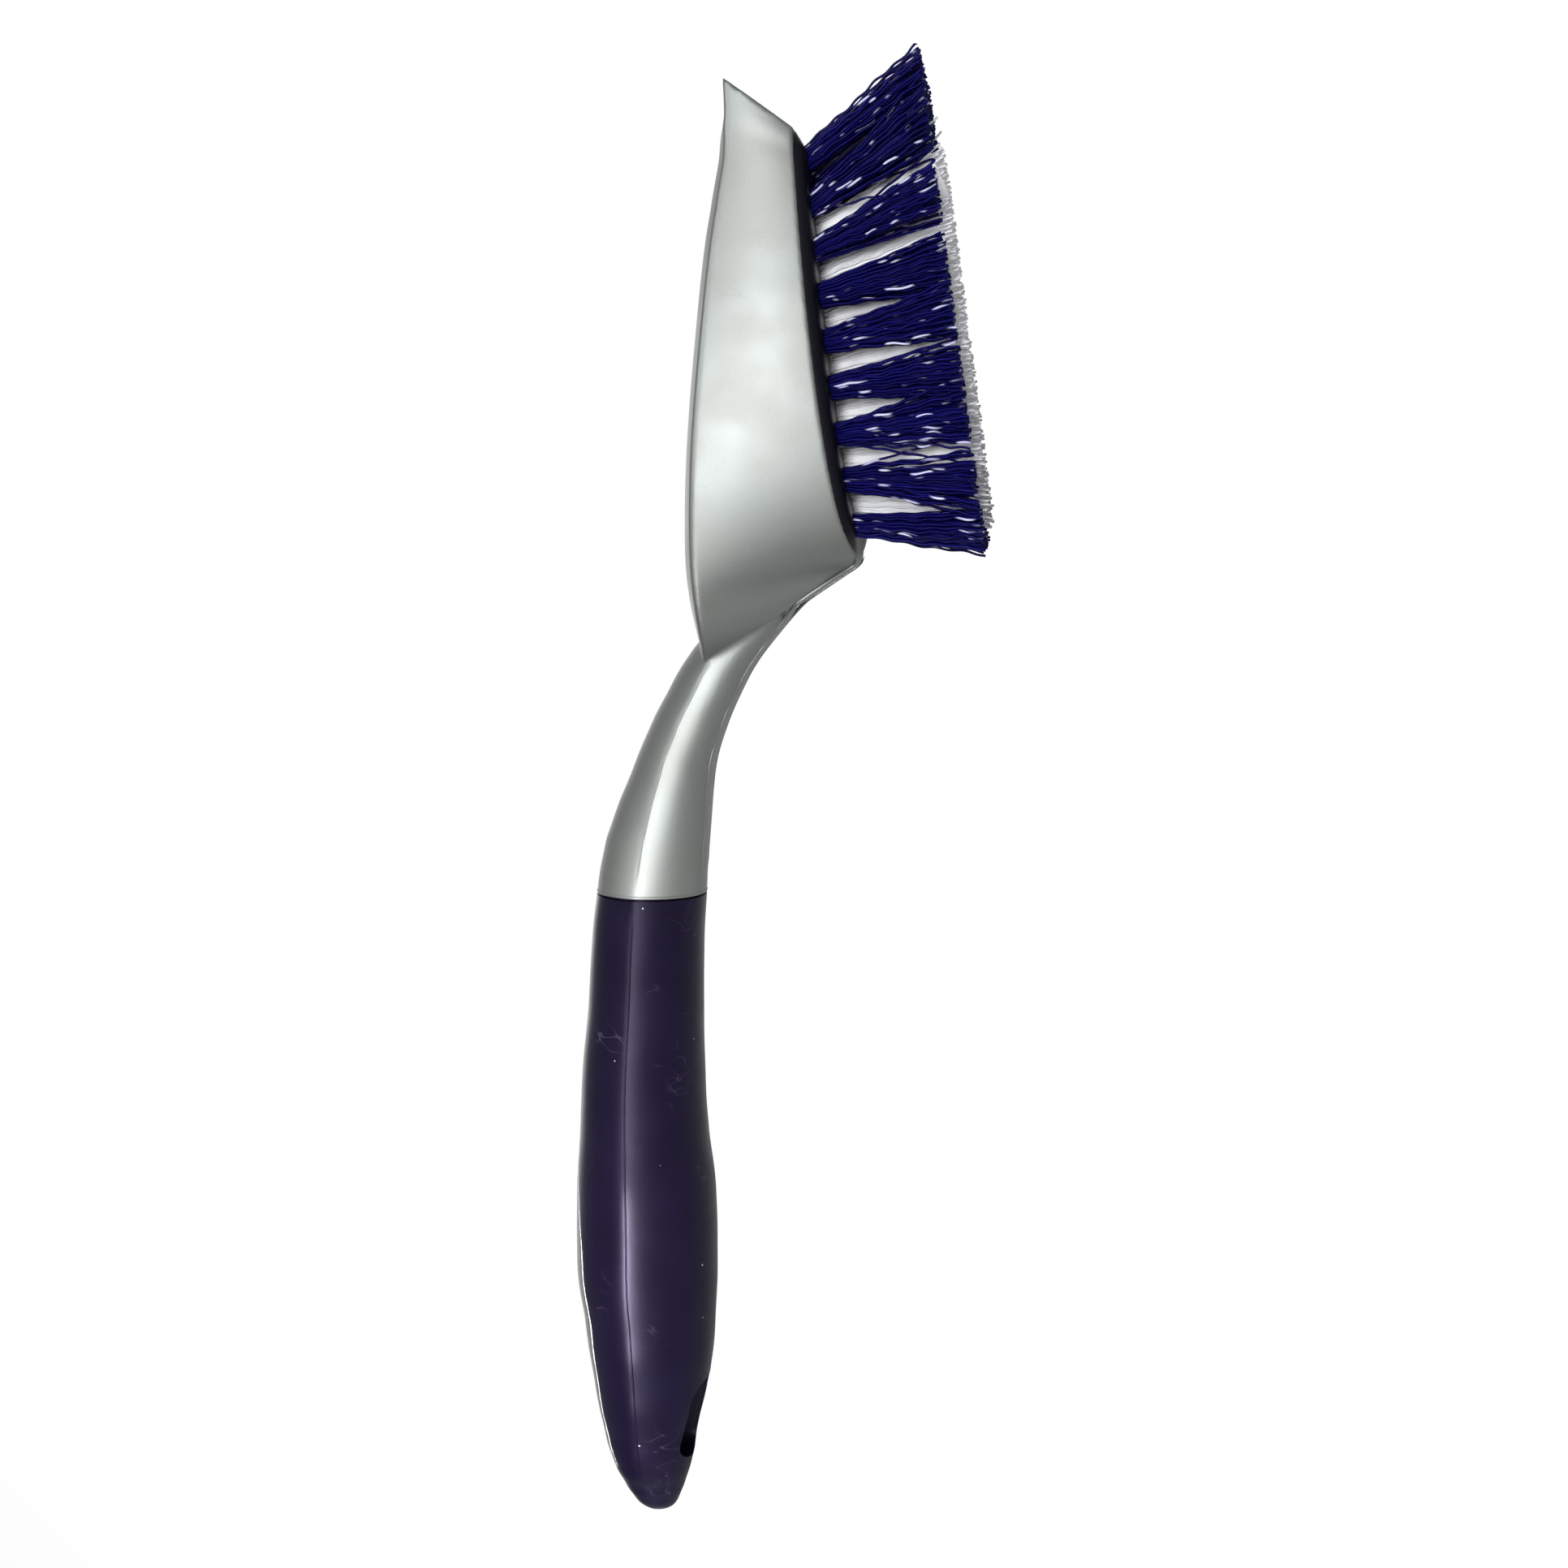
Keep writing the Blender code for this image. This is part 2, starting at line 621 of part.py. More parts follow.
def make_block(places):
    """The dark block with a pocket for each tuft."""
    rings = mouth_prism(CLEARANCE, BLOCK_DEPTH, BLOCK_PROUD, BLOCK_EDGE_RADIUS)
    block = loft("bristle_block", rings, BLACK)
    pockets = bmesh.new()
    for _, foot, way, _ in places:
        plug(pockets, foot, way, POCKET_DIAMETER / 2, -POCKET_DEPTH, 2 * CUTTER_OVERRUN, POCKET_SIDES)
    boolean(block, "DIFFERENCE", add_object("tuft_pockets", pockets))
    return block


def stand_up(parts):
    """Tips the brush onto its heel and butt, with the middle of its foot-print at the origin."""
    frame = bpy.data.objects.new("brush_frame", None)
    PARTS.objects.link(frame)
    tilt = math.atan2(FLOOR_NORMAL.x, -FLOOR_NORMAL.z)
    turn = Matrix.Rotation(tilt, 4, "Y")
    for obj in parts + list(CUTTERS.objects):
        obj.parent = frame
    bpy.context.view_layer.update()
    graph = bpy.context.evaluated_depsgraph_get()
    reaches = []
    for part in parts:
        mesh = part.evaluated_get(graph).to_mesh()
        reaches += [(turn @ vertex.co).x for vertex in mesh.vertices]
        part.evaluated_get(graph).to_mesh_clear()
    middle = (min(reaches) + max(reaches)) / 2
    frame.rotation_euler = (0, tilt, 0)
    frame.location = (-middle, 0, -(turn @ FLOOR_POINT).z)


def shade(meshes):
    for mesh in meshes:
        mesh.shade_smooth()
        mesh.set_sharp_from_angle(angle=SHARP_ANGLE)


def main():
    places = tuft_places()
    parts = [make_body(), make_grip(), make_block(places)]
    for number, place in enumerate(places):
        parts.append(make_tuft(*place, number))
    shade([obj.data for obj in parts + list(CUTTERS.objects)])
    stand_up(parts)


main()
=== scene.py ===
"""Looks of the scrub brush: painted head and neck, soft grip, dark block and crimped nylon tufts.

Lengths are metres. As in the CAD, the brush is drawn along +X from the butt of the grip to the scraper's
edge, with its back towards +Z and its bristles towards -Z, and is then tipped onto heel and butt.
"""

import math

import bmesh
import bpy
import numpy as np
from mathutils import Matrix, Vector
from mathutils.bvhtree import BVHTree


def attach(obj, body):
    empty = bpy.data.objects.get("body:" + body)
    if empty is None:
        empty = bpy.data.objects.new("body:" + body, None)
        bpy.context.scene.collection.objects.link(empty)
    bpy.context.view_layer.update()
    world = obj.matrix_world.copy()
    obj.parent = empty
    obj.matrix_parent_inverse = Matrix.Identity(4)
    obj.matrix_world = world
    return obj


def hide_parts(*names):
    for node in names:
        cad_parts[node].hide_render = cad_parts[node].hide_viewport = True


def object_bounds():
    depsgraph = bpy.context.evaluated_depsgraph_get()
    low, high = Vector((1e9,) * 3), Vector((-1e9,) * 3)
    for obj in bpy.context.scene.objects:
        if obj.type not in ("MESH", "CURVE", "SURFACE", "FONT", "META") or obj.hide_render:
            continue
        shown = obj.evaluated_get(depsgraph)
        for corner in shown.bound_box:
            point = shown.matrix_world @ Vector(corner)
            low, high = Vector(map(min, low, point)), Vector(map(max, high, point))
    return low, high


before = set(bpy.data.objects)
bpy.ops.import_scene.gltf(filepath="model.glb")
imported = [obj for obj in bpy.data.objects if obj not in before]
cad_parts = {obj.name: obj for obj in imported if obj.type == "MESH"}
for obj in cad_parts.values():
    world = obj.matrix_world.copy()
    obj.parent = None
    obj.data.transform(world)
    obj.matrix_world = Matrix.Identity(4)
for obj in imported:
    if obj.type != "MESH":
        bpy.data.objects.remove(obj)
CAD_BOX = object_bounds()

MM = 0.001
GOLDEN_ANGLE = math.pi * (3 - math.sqrt(5))
SIDES = (("near", -1), ("far", 1))

# How the brush stands: tipped about Y, then moved so that its foot-print is centred
TILT = math.radians(-17.505124)
STAND_AT = Vector((-0.13119641, 0, 0.0036313))

# Overall sizes
GRIP_LENGTH = 0.1160
NECK_LENGTH = 0.0437
CLEARANCE = 0.0003
HEAD_HEIGHT_SCALE = 27.5 / 26.9
BACK_EDGE_RADIUS = 0.0009
RIM_RADIUS = 0.0006
SIDE_BULGE = 0.00045

# Section of the handle
WIDEST_SHARE = 0.56
GRIP_ROUNDNESS = 2.15
NECK_BACK_ROUNDNESS = 1.80
NECK_RIDGE_POWER = 1.18
GRIP_RIDGE_POWER = 1.60
NECK_RIDGE_RATE = 3
NECK_FRONT_ROUNDNESS = 3.50
BUTT_DOME = 0.0014

# Moulded lines along the handle, the edge under the neck and the lip at the joint
BEAD_SIDES = 8
BEAD_FADE = 0.005
BEAD_LEAST = 0.05
RIDGE_RADIUS = 0.00022
RIDGE_PROUD = 0.00009
RIDGE_POINTS = 120
NECK_RIDGE_END = 0.0020
GRIP_RIDGE_START = 0.0040
GRIP_RIDGE_END = 0.0005
CORNER_RADIUS = 0.00032
CORNER_START = 0.0010
CORNER_END = 0.0020
CORNER_POINTS = 60
CORNER_PASSES = 12
CORNER_DEPTH = 0.97
CORNER_SUNK = 0.0002
LIP_RADIUS = 0.00035
LIP_PROUD = 0.00012

# Hang slot and window
SLOT_FROM_BUTT = 0.0190
SLOT_LENGTH = 0.0140
SLOT_WIDTH = 0.0060
SLOT_FLARE = 0.0008
SLOT_NEAR_FLARE = 0.0050
SLOT_FLARE_DEPTH = 0.0046
# Mouth of the slot, from the surface inwards: share of the flare's depth, share of its width
SLOT_MOUTH = ((0.0, 1.0), (0.25, 0.88), (0.5, 0.72), (0.75, 0.5), (1.0, 0.28), (1.6, 0.0))
WINDOW_FROM_BUTT = 0.0085
WINDOW_POINT_CLEARANCES = 3
WINDOW_POINT_HALF = 0.0002
WINDOW_END_STEPS = 12
WINDOW_SIDE_STEPS = 40
SPINE_FOOT_HEIGHT = 0.0015
SLEEVE_HEIGHT = 0.0300
COLLAR_INSET = 0.0011
COLLAR_START = 0.0020
COLLAR_END = 0.0006

# Bristle block
BLOCK_SUNK = 0.0030
BLOCK_PROUD = 0.0018
BLOCK_INSET = 0.0002
BLOCK_HEEL_INSET = 0.0003
BLOCK_HEEL_FADE = 0.0045
BLOCK_CORNER_RADIUS = 0.0008
BLOCK_HEEL_RADIUS = 0.0042
BLOCK_TOE_BEVEL = 0.0033
BLOCK_TOE_SHARE = 0.05
BLOCK_EDGE_RADIUS = 0.0024

# Tufts
ROW_NAMES = ("near_outer", "near_inner", "centre", "far_inner", "far_outer")
OUTER_ROWS = (-2, 2)
STAGGERED_ROWS = (-1, 1)
TUFTS_IN_ROW = 9
TUFT_TOE_MARGIN = 0.0044
TUFT_HEEL_MARGIN = 0.0054
TUFT_SIDE_MARGIN = 0.0053
POCKET_DIAMETER = 0.0042
POCKET_DEPTH = 0.0030
TOE_LEAN = math.radians(34.6)
HEEL_LEAN = math.radians(-1)
LEAN_POWER = 1.3
# The widest white wedge: the blue tufts on its two sides lean away from it
WIDE_GAP_AT = 0.2275
WIDE_GAP_REACH = 0.009
WIDE_GAP_LEAN = math.radians(10)
ROW_FAN = math.radians(3.6)
BRISTLE_DROP_AT_HEEL = 0.0230
TRIM_ANGLE = math.radians(8.2)
TRIM_START = 0.0013
WHITE_PROUD = 0.0015

# Filaments
FILAMENTS_IN_OUTER_TUFT = 66
FILAMENTS_IN_INNER_TUFT = 56
FILAMENT_RADIUS = 0.00022
FILAMENT_SIDES = 4
FILAMENT_RINGS = 48
SPREAD_ALONG_ROW = 2.7
SPREAD_AT_ROW_ENDS = 1.9
SPREAD_ACROSS = 2.25
TIP_SCATTER = 0.14
STRAY_SHARE = 0.07
STRAY_REACH = 2.2
TUFT_LEAN_SCATTER = math.radians(1.6)
FIRST_SEED = 1000
CRIMP_LENGTH = 0.0046
CRIMP_LENGTH_IN_TUFTS = (0.85, 1.15)
CRIMP_LENGTH_IN_TUFT = (0.93, 1.07)
CRIMP_HEIGHT = 0.00012
CRIMP_HEIGHT_RANGE = (0.5, 1.5)
CRIMP_FULL_FROM = 0.25
SLOW_WAVE = 0.9
SLOW_WAVE_RATE = 0.37
CRIMP_PHASE_DRIFT = 0.7
CRIMP_PHASE_SCATTER = 0.45
CRIMP_SWING_SCATTER = 0.5
OPENING_POWER = 1.15
ROOT_DEPTH = 0.0012
CORE_SIDES = 12
CORE_RINGS = 10
CORE_LENGTH_SHARE = 0.90
CORE_WIDTH_SHARE = 0.62
WHITE_CORE_WIDTH_SHARE = 0.96
BLUE_LENGTH_SCATTER = 0.0008
WHITE_LENGTH_SCATTER = 0.0013

# Fineness of the forms
HANDLE_SIDES = 96
GRIP_RINGS = 170
NECK_RINGS = 90
BUTT_RINGS = 8
BUTT_LEAST = 0.08
HEAD_STATIONS = 180
BACK_POINTS = 16
BACK_EDGE_POINTS = 7
SIDE_POINTS = 18
RIM_POINTS = 5
MOUTH_SHARES = (0.7, 0.35, 0.0)
EVENING_PASSES = 70
EVEN_FROM_ROW = 4.5
SLOT_SIDES = 48
BLOCK_CORNER_RINGS = 9
BLOCK_SIDE_RINGS = 24
BLOCK_EDGE_POINTS = 8
POCKET_SIDES = 20
SHARP_FROM = math.radians(35)
VOXEL = 0.00032
CREASE_REACH = 0.0013
CREASE_FULL = 1.4
SMOOTH_FACTOR = 0.5
SMOOTH_STEPS = 6
FILLET_STEPS = 20

# Outlines, in millimetres. Grip: distance from the butt, back line, front line, half-width.
GRIP_OUTLINE = (
    (0.0, 0.6, -2.4, 1.2),
    (1.0, 2.2, -3.5, 2.9),
    (3.3, 4.3, -4.7, 4.6),
    (6.0, 5.9, -5.7, 6.0),
    (10.2, 7.8, -6.9, 8.2),
    (16.6, 9.5, -8.3, 10.0),
    (26.6, 11.3, -10.2, 11.9),
    (37.4, 12.8, -11.2, 13.0),
    (50.0, 14.1, -11.6, 13.4),
    (60.0, 14.0, -11.4, 13.4),
    (72.0, 13.3, -10.1, 12.7),
    (83.0, 12.8, -9.5, 12.0),
    (95.0, 11.6, -9.3, 11.4),
    (106.0, 10.9, -9.4, 11.0),
    (116.0, 9.8, -9.9, 10.7),
)
# Neck: distance from the grip's joint, back line, front line, half-width. It runs on into the head.
NECK_OUTLINE = (
    (7.5, 8.6, -10.2, 10.4),
    (13.0, 7.0, -10.6, 10.1),
    (21.3, 3.7, -11.2, 9.6),
    (29.3, 0.4, -13.2, 9.1),
    (36.0, -3.0, -16.0, 8.7),
    (43.7, -7.6, -20.3, 8.5),
    (47.3, -10.5, -23.4, 8.5),
    (53.0, -14.0, -27.0, 8.0),
    (60.0, -18.0, -31.0, 5.5),
)
# Head, from the scraper's edge to the crease at the neck, measured from where the neck meets the head:
# back edge along, up and half-width, front edge along, up and half-width, crown of the back.
HEAD_OUTLINE = (
    (95.8, -1.6, 17.0, 87.4, -13.2, 17.0, 0.0),
    (90.3, -1.85, 17.4, 85.2, -13.3, 17.4, 0.0),
    (88.3, -1.9, 17.5, 83.8, -13.4, 17.5, 1.7),
    (84.3, -2.0, 17.8, 81.3, -13.6, 17.8, 2.7),
    (76.2, -1.05, 18.5, 74.3, -14.2, 18.5, 3.2),
    (64.3, 0.6, 19.6, 63.8, -15.2, 19.6, 3.3),
    (48.3, 2.0, 21.1, 49.5, -16.8, 20.9, 3.3),
    (34.3, 3.1, 21.8, 35.9, -18.7, 20.8, 3.3),
    (24.3, 3.4, 21.3, 24.8, -20.7, 19.0, 3.3),
    (18.0, 3.45, 20.7, 20.6, -21.9, 16.8, 3.3),
    (13.5, 3.35, 20.0, 18.3, -22.6, 14.1, 3.2),
    (10.6, 3.15, 19.3, 16.7, -23.0, 10.4, 3.0),
    (8.3, 3.0, 18.6, 15.5, -23.0, 5.8, 2.8),
    (6.1, 2.85, 17.6, 14.2, -20.8, 6.8, 2.5),
    (4.0, 2.7, 16.4, 12.6, -18.6, 7.9, 2.1),
    (2.1, 2.7, 14.4, 11.1, -16.3, 8.5, 1.7),
    (0.4, 2.8, 11.9, 9.6, -14.2, 8.5, 1.2),
    (-1.3, 2.95, 8.8, 8.3, -12.4, 8.4, 0.7),
)
HEAD_ROW_AT_HEEL = 11
# Window at the back of the grip: distance from its lower end, half-width.
WINDOW_OUTLINE = (
    (0.0, 2.4),
    (0.8, 4.4),
    (2.4, 5.4),
    (6.0, 5.8),
    (13.5, 6.5),
    (23.0, 7.5),
    (31.5, 8.0),
    (39.5, 7.7),
    (47.5, 6.7),
    (55.5, 5.2),
    (63.5, 3.1),
    (71.5, 0.4),
)

# Materials: a size is that of a noise's blotches, and a depth is that of its relief, in metres. A tone,
# grain, patch or speck pair is where a change starts and is full, between 0 and 1, along such a noise.
NOISE_MIDDLE = (0.3, 0.7)
NOISE_DETAIL = 2.0

# Silver paint
SILVER_COLOUR = (0.250, 0.266, 0.262)
SILVER_WARM = (0.256, 0.264, 0.254)
SILVER_DARK = (0.18, 0.19, 0.185)
SILVER_MARK = (0.17, 0.175, 0.17)
SILVER_METALLIC = 0.95
SILVER_ROUGHNESS = (0.47, 0.52)
SILVER_TONE = (0.35, 0.65)
SILVER_TONE_SIZE = 0.012
SILVER_GRAIN = (0.40, 0.80)
SILVER_GRAIN_SIZE = 0.00022
SILVER_GRAIN_SHARE = 0.32
SILVER_GRAIN_DEPTH = 0.000005
SILVER_PEEL_SIZE = 0.0005
SILVER_PEEL_DEPTH = 0.000008
SILVER_MARK_SIZE = 0.004
SILVER_MARK_STRETCH = (1.0, 1.0, 0.12)
SILVER_MARK_TURN = (0.3, 0.5, 0.2)
SILVER_MARK_WIDTH = 0.006
SILVER_MARK_SHARE = 0.15
SILVER_MARK_DEPTH = 0.000004

# Purple soft grip
PURPLE_COLOUR = (0.0027, 0.0015, 0.0092)
PURPLE_PALE = (0.0035, 0.0020, 0.0115)
PURPLE_MARK = (0.10, 0.085, 0.15)
PURPLE_SPECK = (0.55, 0.52, 0.60)
PURPLE_TINT = (0.78, 0.70, 1.0)
PURPLE_SPECULAR = 0.20
PURPLE_ROUGHNESS = (0.30, 0.36)
PURPLE_TONE = (0.35, 0.7)
PURPLE_TONE_SIZE = 0.009
PURPLE_MARK_SIZE = 0.003
PURPLE_MARK_STRETCH = (1.0, 1.0, 0.15)
PURPLE_MARK_TURN = (0.2, 0.4, 0.1)
PURPLE_MARK_WIDTH = 0.012
PURPLE_MARK_SHARE = 0.25
PURPLE_SPECKS = (0.81, 0.825)
PURPLE_SPECK_SIZE = 0.0008
PURPLE_GRAIN_SIZE = 0.00035
PURPLE_GRAIN_DEPTH = 0.000009

# Marks gather in patches of this size
MARK_PATCH_SIZE = 0.011
MARK_PATCH = (0.56, 0.66)

# Dark block
BLOCK_COLOUR = (0.0015, 0.0015, 0.0045)
BLOCK_PALE = (0.003, 0.003, 0.007)
BLOCK_SPECULAR = 0.15
BLOCK_ROUGHNESS = (0.34, 0.44)
BLOCK_TONE_SIZE = 0.004
BLOCK_WAVE_SIZE = 0.0025
BLOCK_WAVE_DEPTH = 0.00004

# Nylon
BLUE_DEEP = (0.0009, 0.0007, 0.028)
BLUE_LIT = (0.0032, 0.0026, 0.092)
BLUE_TINT = (0.30, 0.28, 1.0)
# Painted highlight: the pale colour of short stretches of blue filament, standing in for glints
BLUE_PAINTED_GLINT = (0.62, 0.62, 0.88)
BLUE_SPECULAR = 0.24
BLUE_ROUGHNESS = 0.38
CORE_SPECULAR = 0.2
CORE_ROUGHNESS = 0.45
WHITE_COOL = (0.95, 0.96, 0.99)
WHITE_GREY = (0.91, 0.91, 0.95)
WHITE_SPECULAR = 0.5
WHITE_ROUGHNESS = 0.40
# Streaks: short stretches of filament that are glossier, and paler as a painted highlight
STREAK_SIZE = 0.0028
STREAK_STRETCH = (1.0, 1.0, 0.45)
STREAK_APART = 60.0
PAINTED_GLINT_RANGE = (0.665, 0.74)
STREAK_GLOSS = (0.61, 0.67)
STREAK_ROUGHNESS = 0.09
NYLON_TONE_SIZE = 0.003
NYLON_TONE_BY_FILAMENT = 0.7
NYLON_GRAIN_SIZE = 0.0004
NYLON_GRAIN_DEPTH = 0.000008

# Floor
FLOOR_HALF = 2.0
FLOOR_COLOUR = (0.66, 0.66, 0.66)
FLOOR_ROUGHNESS = 0.7
FLOOR_SPECULAR = 0.2

# Room: levels of light from each way, and where along that way's direction each starts and is full
ROOM_LEVEL = 0.10
WALL_LEVEL = 1.0
WALL_RAMP = (0.50, 0.85)
SKY_LEVEL = 0.40
SKY_RAMP = (0.25, 0.95)
HORIZON_LEVEL = 0.44
HORIZON_RAMP = (0.24, 0.08)

# Camera: where it stands and what it looks at; its lens and the width of its sensor are in millimetres
CAMERA_AT = Vector((0.06216843, -0.39490644, -0.00772615))
CAMERA_LOOKS_AT = Vector((0.00572442, 0.0, 0.02165033))
CAMERA_LENS = 51.50
CAMERA_SENSOR = 36

# Lamps: name, place, the point that it faces, width, height, watts, spread in degrees. The key is wide and
# in front, grip_light is narrow and meant for the grip's near side, and the other two are large and soft.
LAMPS = (
    ("key", (0.13, -0.90, 0.17), (0.07, 0, 0.03), 0.40, 0.16, 1.13, 75),
    ("grip_light", (-0.30, -0.45, 0.09), (-0.10, 0, 0.0), 0.18, 0.08, 0.15, 24),
    ("soft_front", (0.15, -0.55, 0.80), (0.03, 0, 0.0), 0.6, 0.4, 3.0, 180),
    ("fill_behind", (-0.3, 0.9, 0.55), (0, 0, 0.03), 0.8, 0.5, 1.2, 180),
)

BRUSH = Matrix.Translation(STAND_AT) @ Matrix.Rotation(TILT, 4, "Y")


def smooth(knots, values, at):
    """Cubic through the values that never overshoots them."""
    knots, values, at = np.asarray(knots), np.asarray(values), np.asarray(at)
    step = np.diff(knots)
    rise = np.diff(values) / step
    slope = np.concatenate([rise[:1], np.zeros(len(knots) - 2), rise[-1:]])
    turning = rise[:-1] * rise[1:] <= 0
    mean = 2 * rise[:-1] * rise[1:] / np.where(turning, 1, rise[:-1] + rise[1:])
    slope[1:-1] = np.where(turning, 0, mean)
    i = np.clip(np.searchsorted(knots, at, side="right") - 1, 0, len(step) - 1)
    t = (at - knots[i]) / step[i]
    start = values[i] + step[i] * slope[i] * t
    end = values[i + 1] + step[i] * slope[i + 1] * (t - 1)
    blend = t * t * (3 - 2 * t)
    return start * (1 - blend) + end * blend


def handle_rows():
    grip = np.array(GRIP_OUTLINE) * MM
    neck = np.array(NECK_OUTLINE) * MM
    neck[:, 0] += GRIP_LENGTH
    return np.concatenate([grip, neck])


HANDLE = handle_rows()


def handle_at(x):
    """Back line, front line and half-width at a distance from the butt."""
    return [smooth(HANDLE[:, 0], HANDLE[:, k], x) for k in (1, 2, 3)]


def head_rows():
    start = GRIP_LENGTH + NECK_LENGTH
    back, front, _ = handle_at(start)
    rows = np.array(HEAD_OUTLINE) * MM
    rows[:, [0, 3]] += start
    rows[:, [1, 4]] = rows[:, [1, 4]] * HEAD_HEIGHT_SCALE + (back + front) / 2
    return rows


HEAD = head_rows()


def head_stations():
    """Closely spaced rows of the head, evened out along it behind the bevel at its toe."""
    knots = np.arange(len(HEAD), dtype=float)
    at = np.linspace(0, knots[-1], HEAD_STATIONS)
    rows = np.stack([smooth(knots, HEAD[:, k], at) for k in range(HEAD.shape[1])], axis=1)
    even = rows.copy()
    for _ in range(EVENING_PASSES):
        even[1:-1] = (even[:-2] + 2 * even[1:-1] + even[2:]) / 4
    share = np.clip(at - EVEN_FROM_ROW, 0, 1)[:, None]
    return rows + (even - rows) * share


STATIONS = head_stations()
HEEL_STATION = round(HEAD_ROW_AT_HEEL * (HEAD_STATIONS - 1) / (len(HEAD) - 1))
RIM = STATIONS[: HEEL_STATION + 1][::-1]
TOE_EDGE, HEEL_EDGE = RIM[-1, 3], RIM[0, 3]


def rim_height(x):
    return smooth(RIM[:, 3], RIM[:, 4], x)


def rim_half(x):
    return smooth(RIM[:, 3], RIM[:, 5], x)


def new_object(name, mesh):
    obj = bpy.data.objects.new(name, mesh)
    bpy.context.scene.collection.objects.link(obj)
    return obj


def loft(name, rings):
    """A closed skin over rings that have the same number of points."""
    rings = np.asarray(rings)
    count, around = rings.shape[:2]
    first = np.arange(count - 1)[:, None] * around
    i, j = np.arange(around), (np.arange(around) + 1) % around
    quads = np.stack([first + i, first + j, first + around + j, first + around + i], axis=-1)
    faces = quads.reshape(-1, 4).tolist()
    faces.append(list(range(around)))
    faces.append(list(range((count - 1) * around, count * around)))
    mesh = bpy.data.meshes.new(name)
    mesh.from_pydata(rings.reshape(-1, 3).tolist(), [], faces)
    bm = bmesh.new()
    bm.from_mesh(mesh)
    bmesh.ops.recalc_face_normals(bm, faces=bm.faces)
    bm.to_mesh(mesh)
    bm.free()
    mesh.shade_smooth()
    return new_object(name, mesh)


def apply(obj):
    """Turns an object's modifiers into its mesh."""
    graph = bpy.context.evaluated_depsgraph_get()
    mesh = bpy.data.meshes.new_from_object(obj.evaluated_get(graph))
    obj.modifiers.clear()
    old = obj.data
    obj.data = mesh
    bpy.data.meshes.remove(old)
    mesh.name = obj.name
    return obj


def combine(obj, operation, other):
    """Applies a Boolean with another object, which is then removed."""
    modifier = obj.modifiers.new("combine", "BOOLEAN")
    modifier.operation = operation
    modifier.solver = "EXACT"
    modifier.object = other
    apply(obj)
    bpy.data.objects.remove(other)
    return obj


def shade(obj):
    """Smooth shading that keeps the edges of a form sharp."""
    obj.data.shade_smooth()
    obj.data.set_sharp_from_angle(angle=SHARP_FROM)


def handle_ring(x, inset=0.0):
    """A section of the handle: a peaked back and a rounded side that meet along a ridge."""
    back, front, half = handle_at(x)
    widest = front + (back - front) * WIDEST_SHARE
    along_neck = min(max((x - GRIP_LENGTH) / NECK_LENGTH, 0.0), 1.0)
    at_neck = min(1.0, along_neck * NECK_RIDGE_RATE)
    ridge = GRIP_RIDGE_POWER + (NECK_RIDGE_POWER - GRIP_RIDGE_POWER) * at_neck
    back_power = GRIP_ROUNDNESS + (NECK_BACK_ROUNDNESS - GRIP_ROUNDNESS) * along_neck
    front_power = GRIP_ROUNDNESS + (NECK_FRONT_ROUNDNESS - GRIP_ROUNDNESS) * along_neck
    angle = math.pi / 2 - 2 * math.pi * np.arange(HANDLE_SIDES) / HANDLE_SIDES
    across, up = np.cos(angle), np.sin(angle)
    reach = np.where(up > 0, back - widest, widest - front) - inset
    dome = max(math.sqrt(1 - (1 - min(x / BUTT_DOME, 1)) ** 2), BUTT_LEAST)
    bow = 2 / np.where(up > 0, back_power, front_power)
    lift = 2 / np.where(up > 0, ridge, front_power)
    y = np.sign(across) * np.abs(across) ** bow * (half - inset) * dome
    z = widest + np.sign(up) * np.abs(up) ** lift * reach * dome
    return np.stack([np.full(HANDLE_SIDES, x), y, z], axis=1)


def butt_stops():
    """Ring places over the dome at the butt."""
    turn = np.linspace(0, math.pi / 2, BUTT_RINGS)
    return BUTT_DOME * (1 - np.cos(turn))


def head_ring(row):
    """A section of the head: crowned back, rounded back edge, gently full side, rounded rim."""
    edge_x, edge_z, edge_half, front_x, front_z, front_half, crown = row
    side, up = np.array((0.0, 1.0, 0.0)), np.array((0.0, 0.0, 1.0))
    edge, front = np.array((edge_x, 0, edge_z)), np.array((front_x, 0, front_z))
    deep = np.linalg.norm(front - edge)
    down = (front - edge) / deep
    points = []
    shoulder = 1 - BACK_EDGE_RADIUS / edge_half
    for share in np.linspace(0, shoulder, BACK_POINTS):
        points.append(edge + side * edge_half * share + up * crown * (1 - share**2))
    lift = crown * (1 - shoulder**2)
    for turn in np.linspace(0, math.pi / 2, BACK_EDGE_POINTS)[1:]:
        sunk, out = 1 - math.cos(turn), 1 - math.sin(turn)
        across_edge = side * (edge_half - BACK_EDGE_RADIUS * out)
        points.append(edge + across_edge + down * BACK_EDGE_RADIUS * sunk + up * lift * (1 - sunk))
    for share in np.linspace(0, 1, SIDE_POINTS)[1:-1]:
        depth = BACK_EDGE_RADIUS + (deep - BACK_EDGE_RADIUS - RIM_RADIUS) * share
        half = edge_half + (front_half - edge_half) * share + SIDE_BULGE * 4 * share * (1 - share)
        points.append(edge + side * half + down * depth)
    for turn in np.linspace(0, math.pi / 2, RIM_POINTS):
        sunk, out = 1 - math.sin(turn), 1 - math.cos(turn)
        points.append(front + side * (front_half - RIM_RADIUS * out) - down * RIM_RADIUS * sunk)
    for share in MOUTH_SHARES:
        points.append(front + side * (front_half - RIM_RADIUS) * share)
    half_ring = np.array(points)
    return np.concatenate([half_ring, half_ring[-2:0:-1] * (1, -1, 1)])


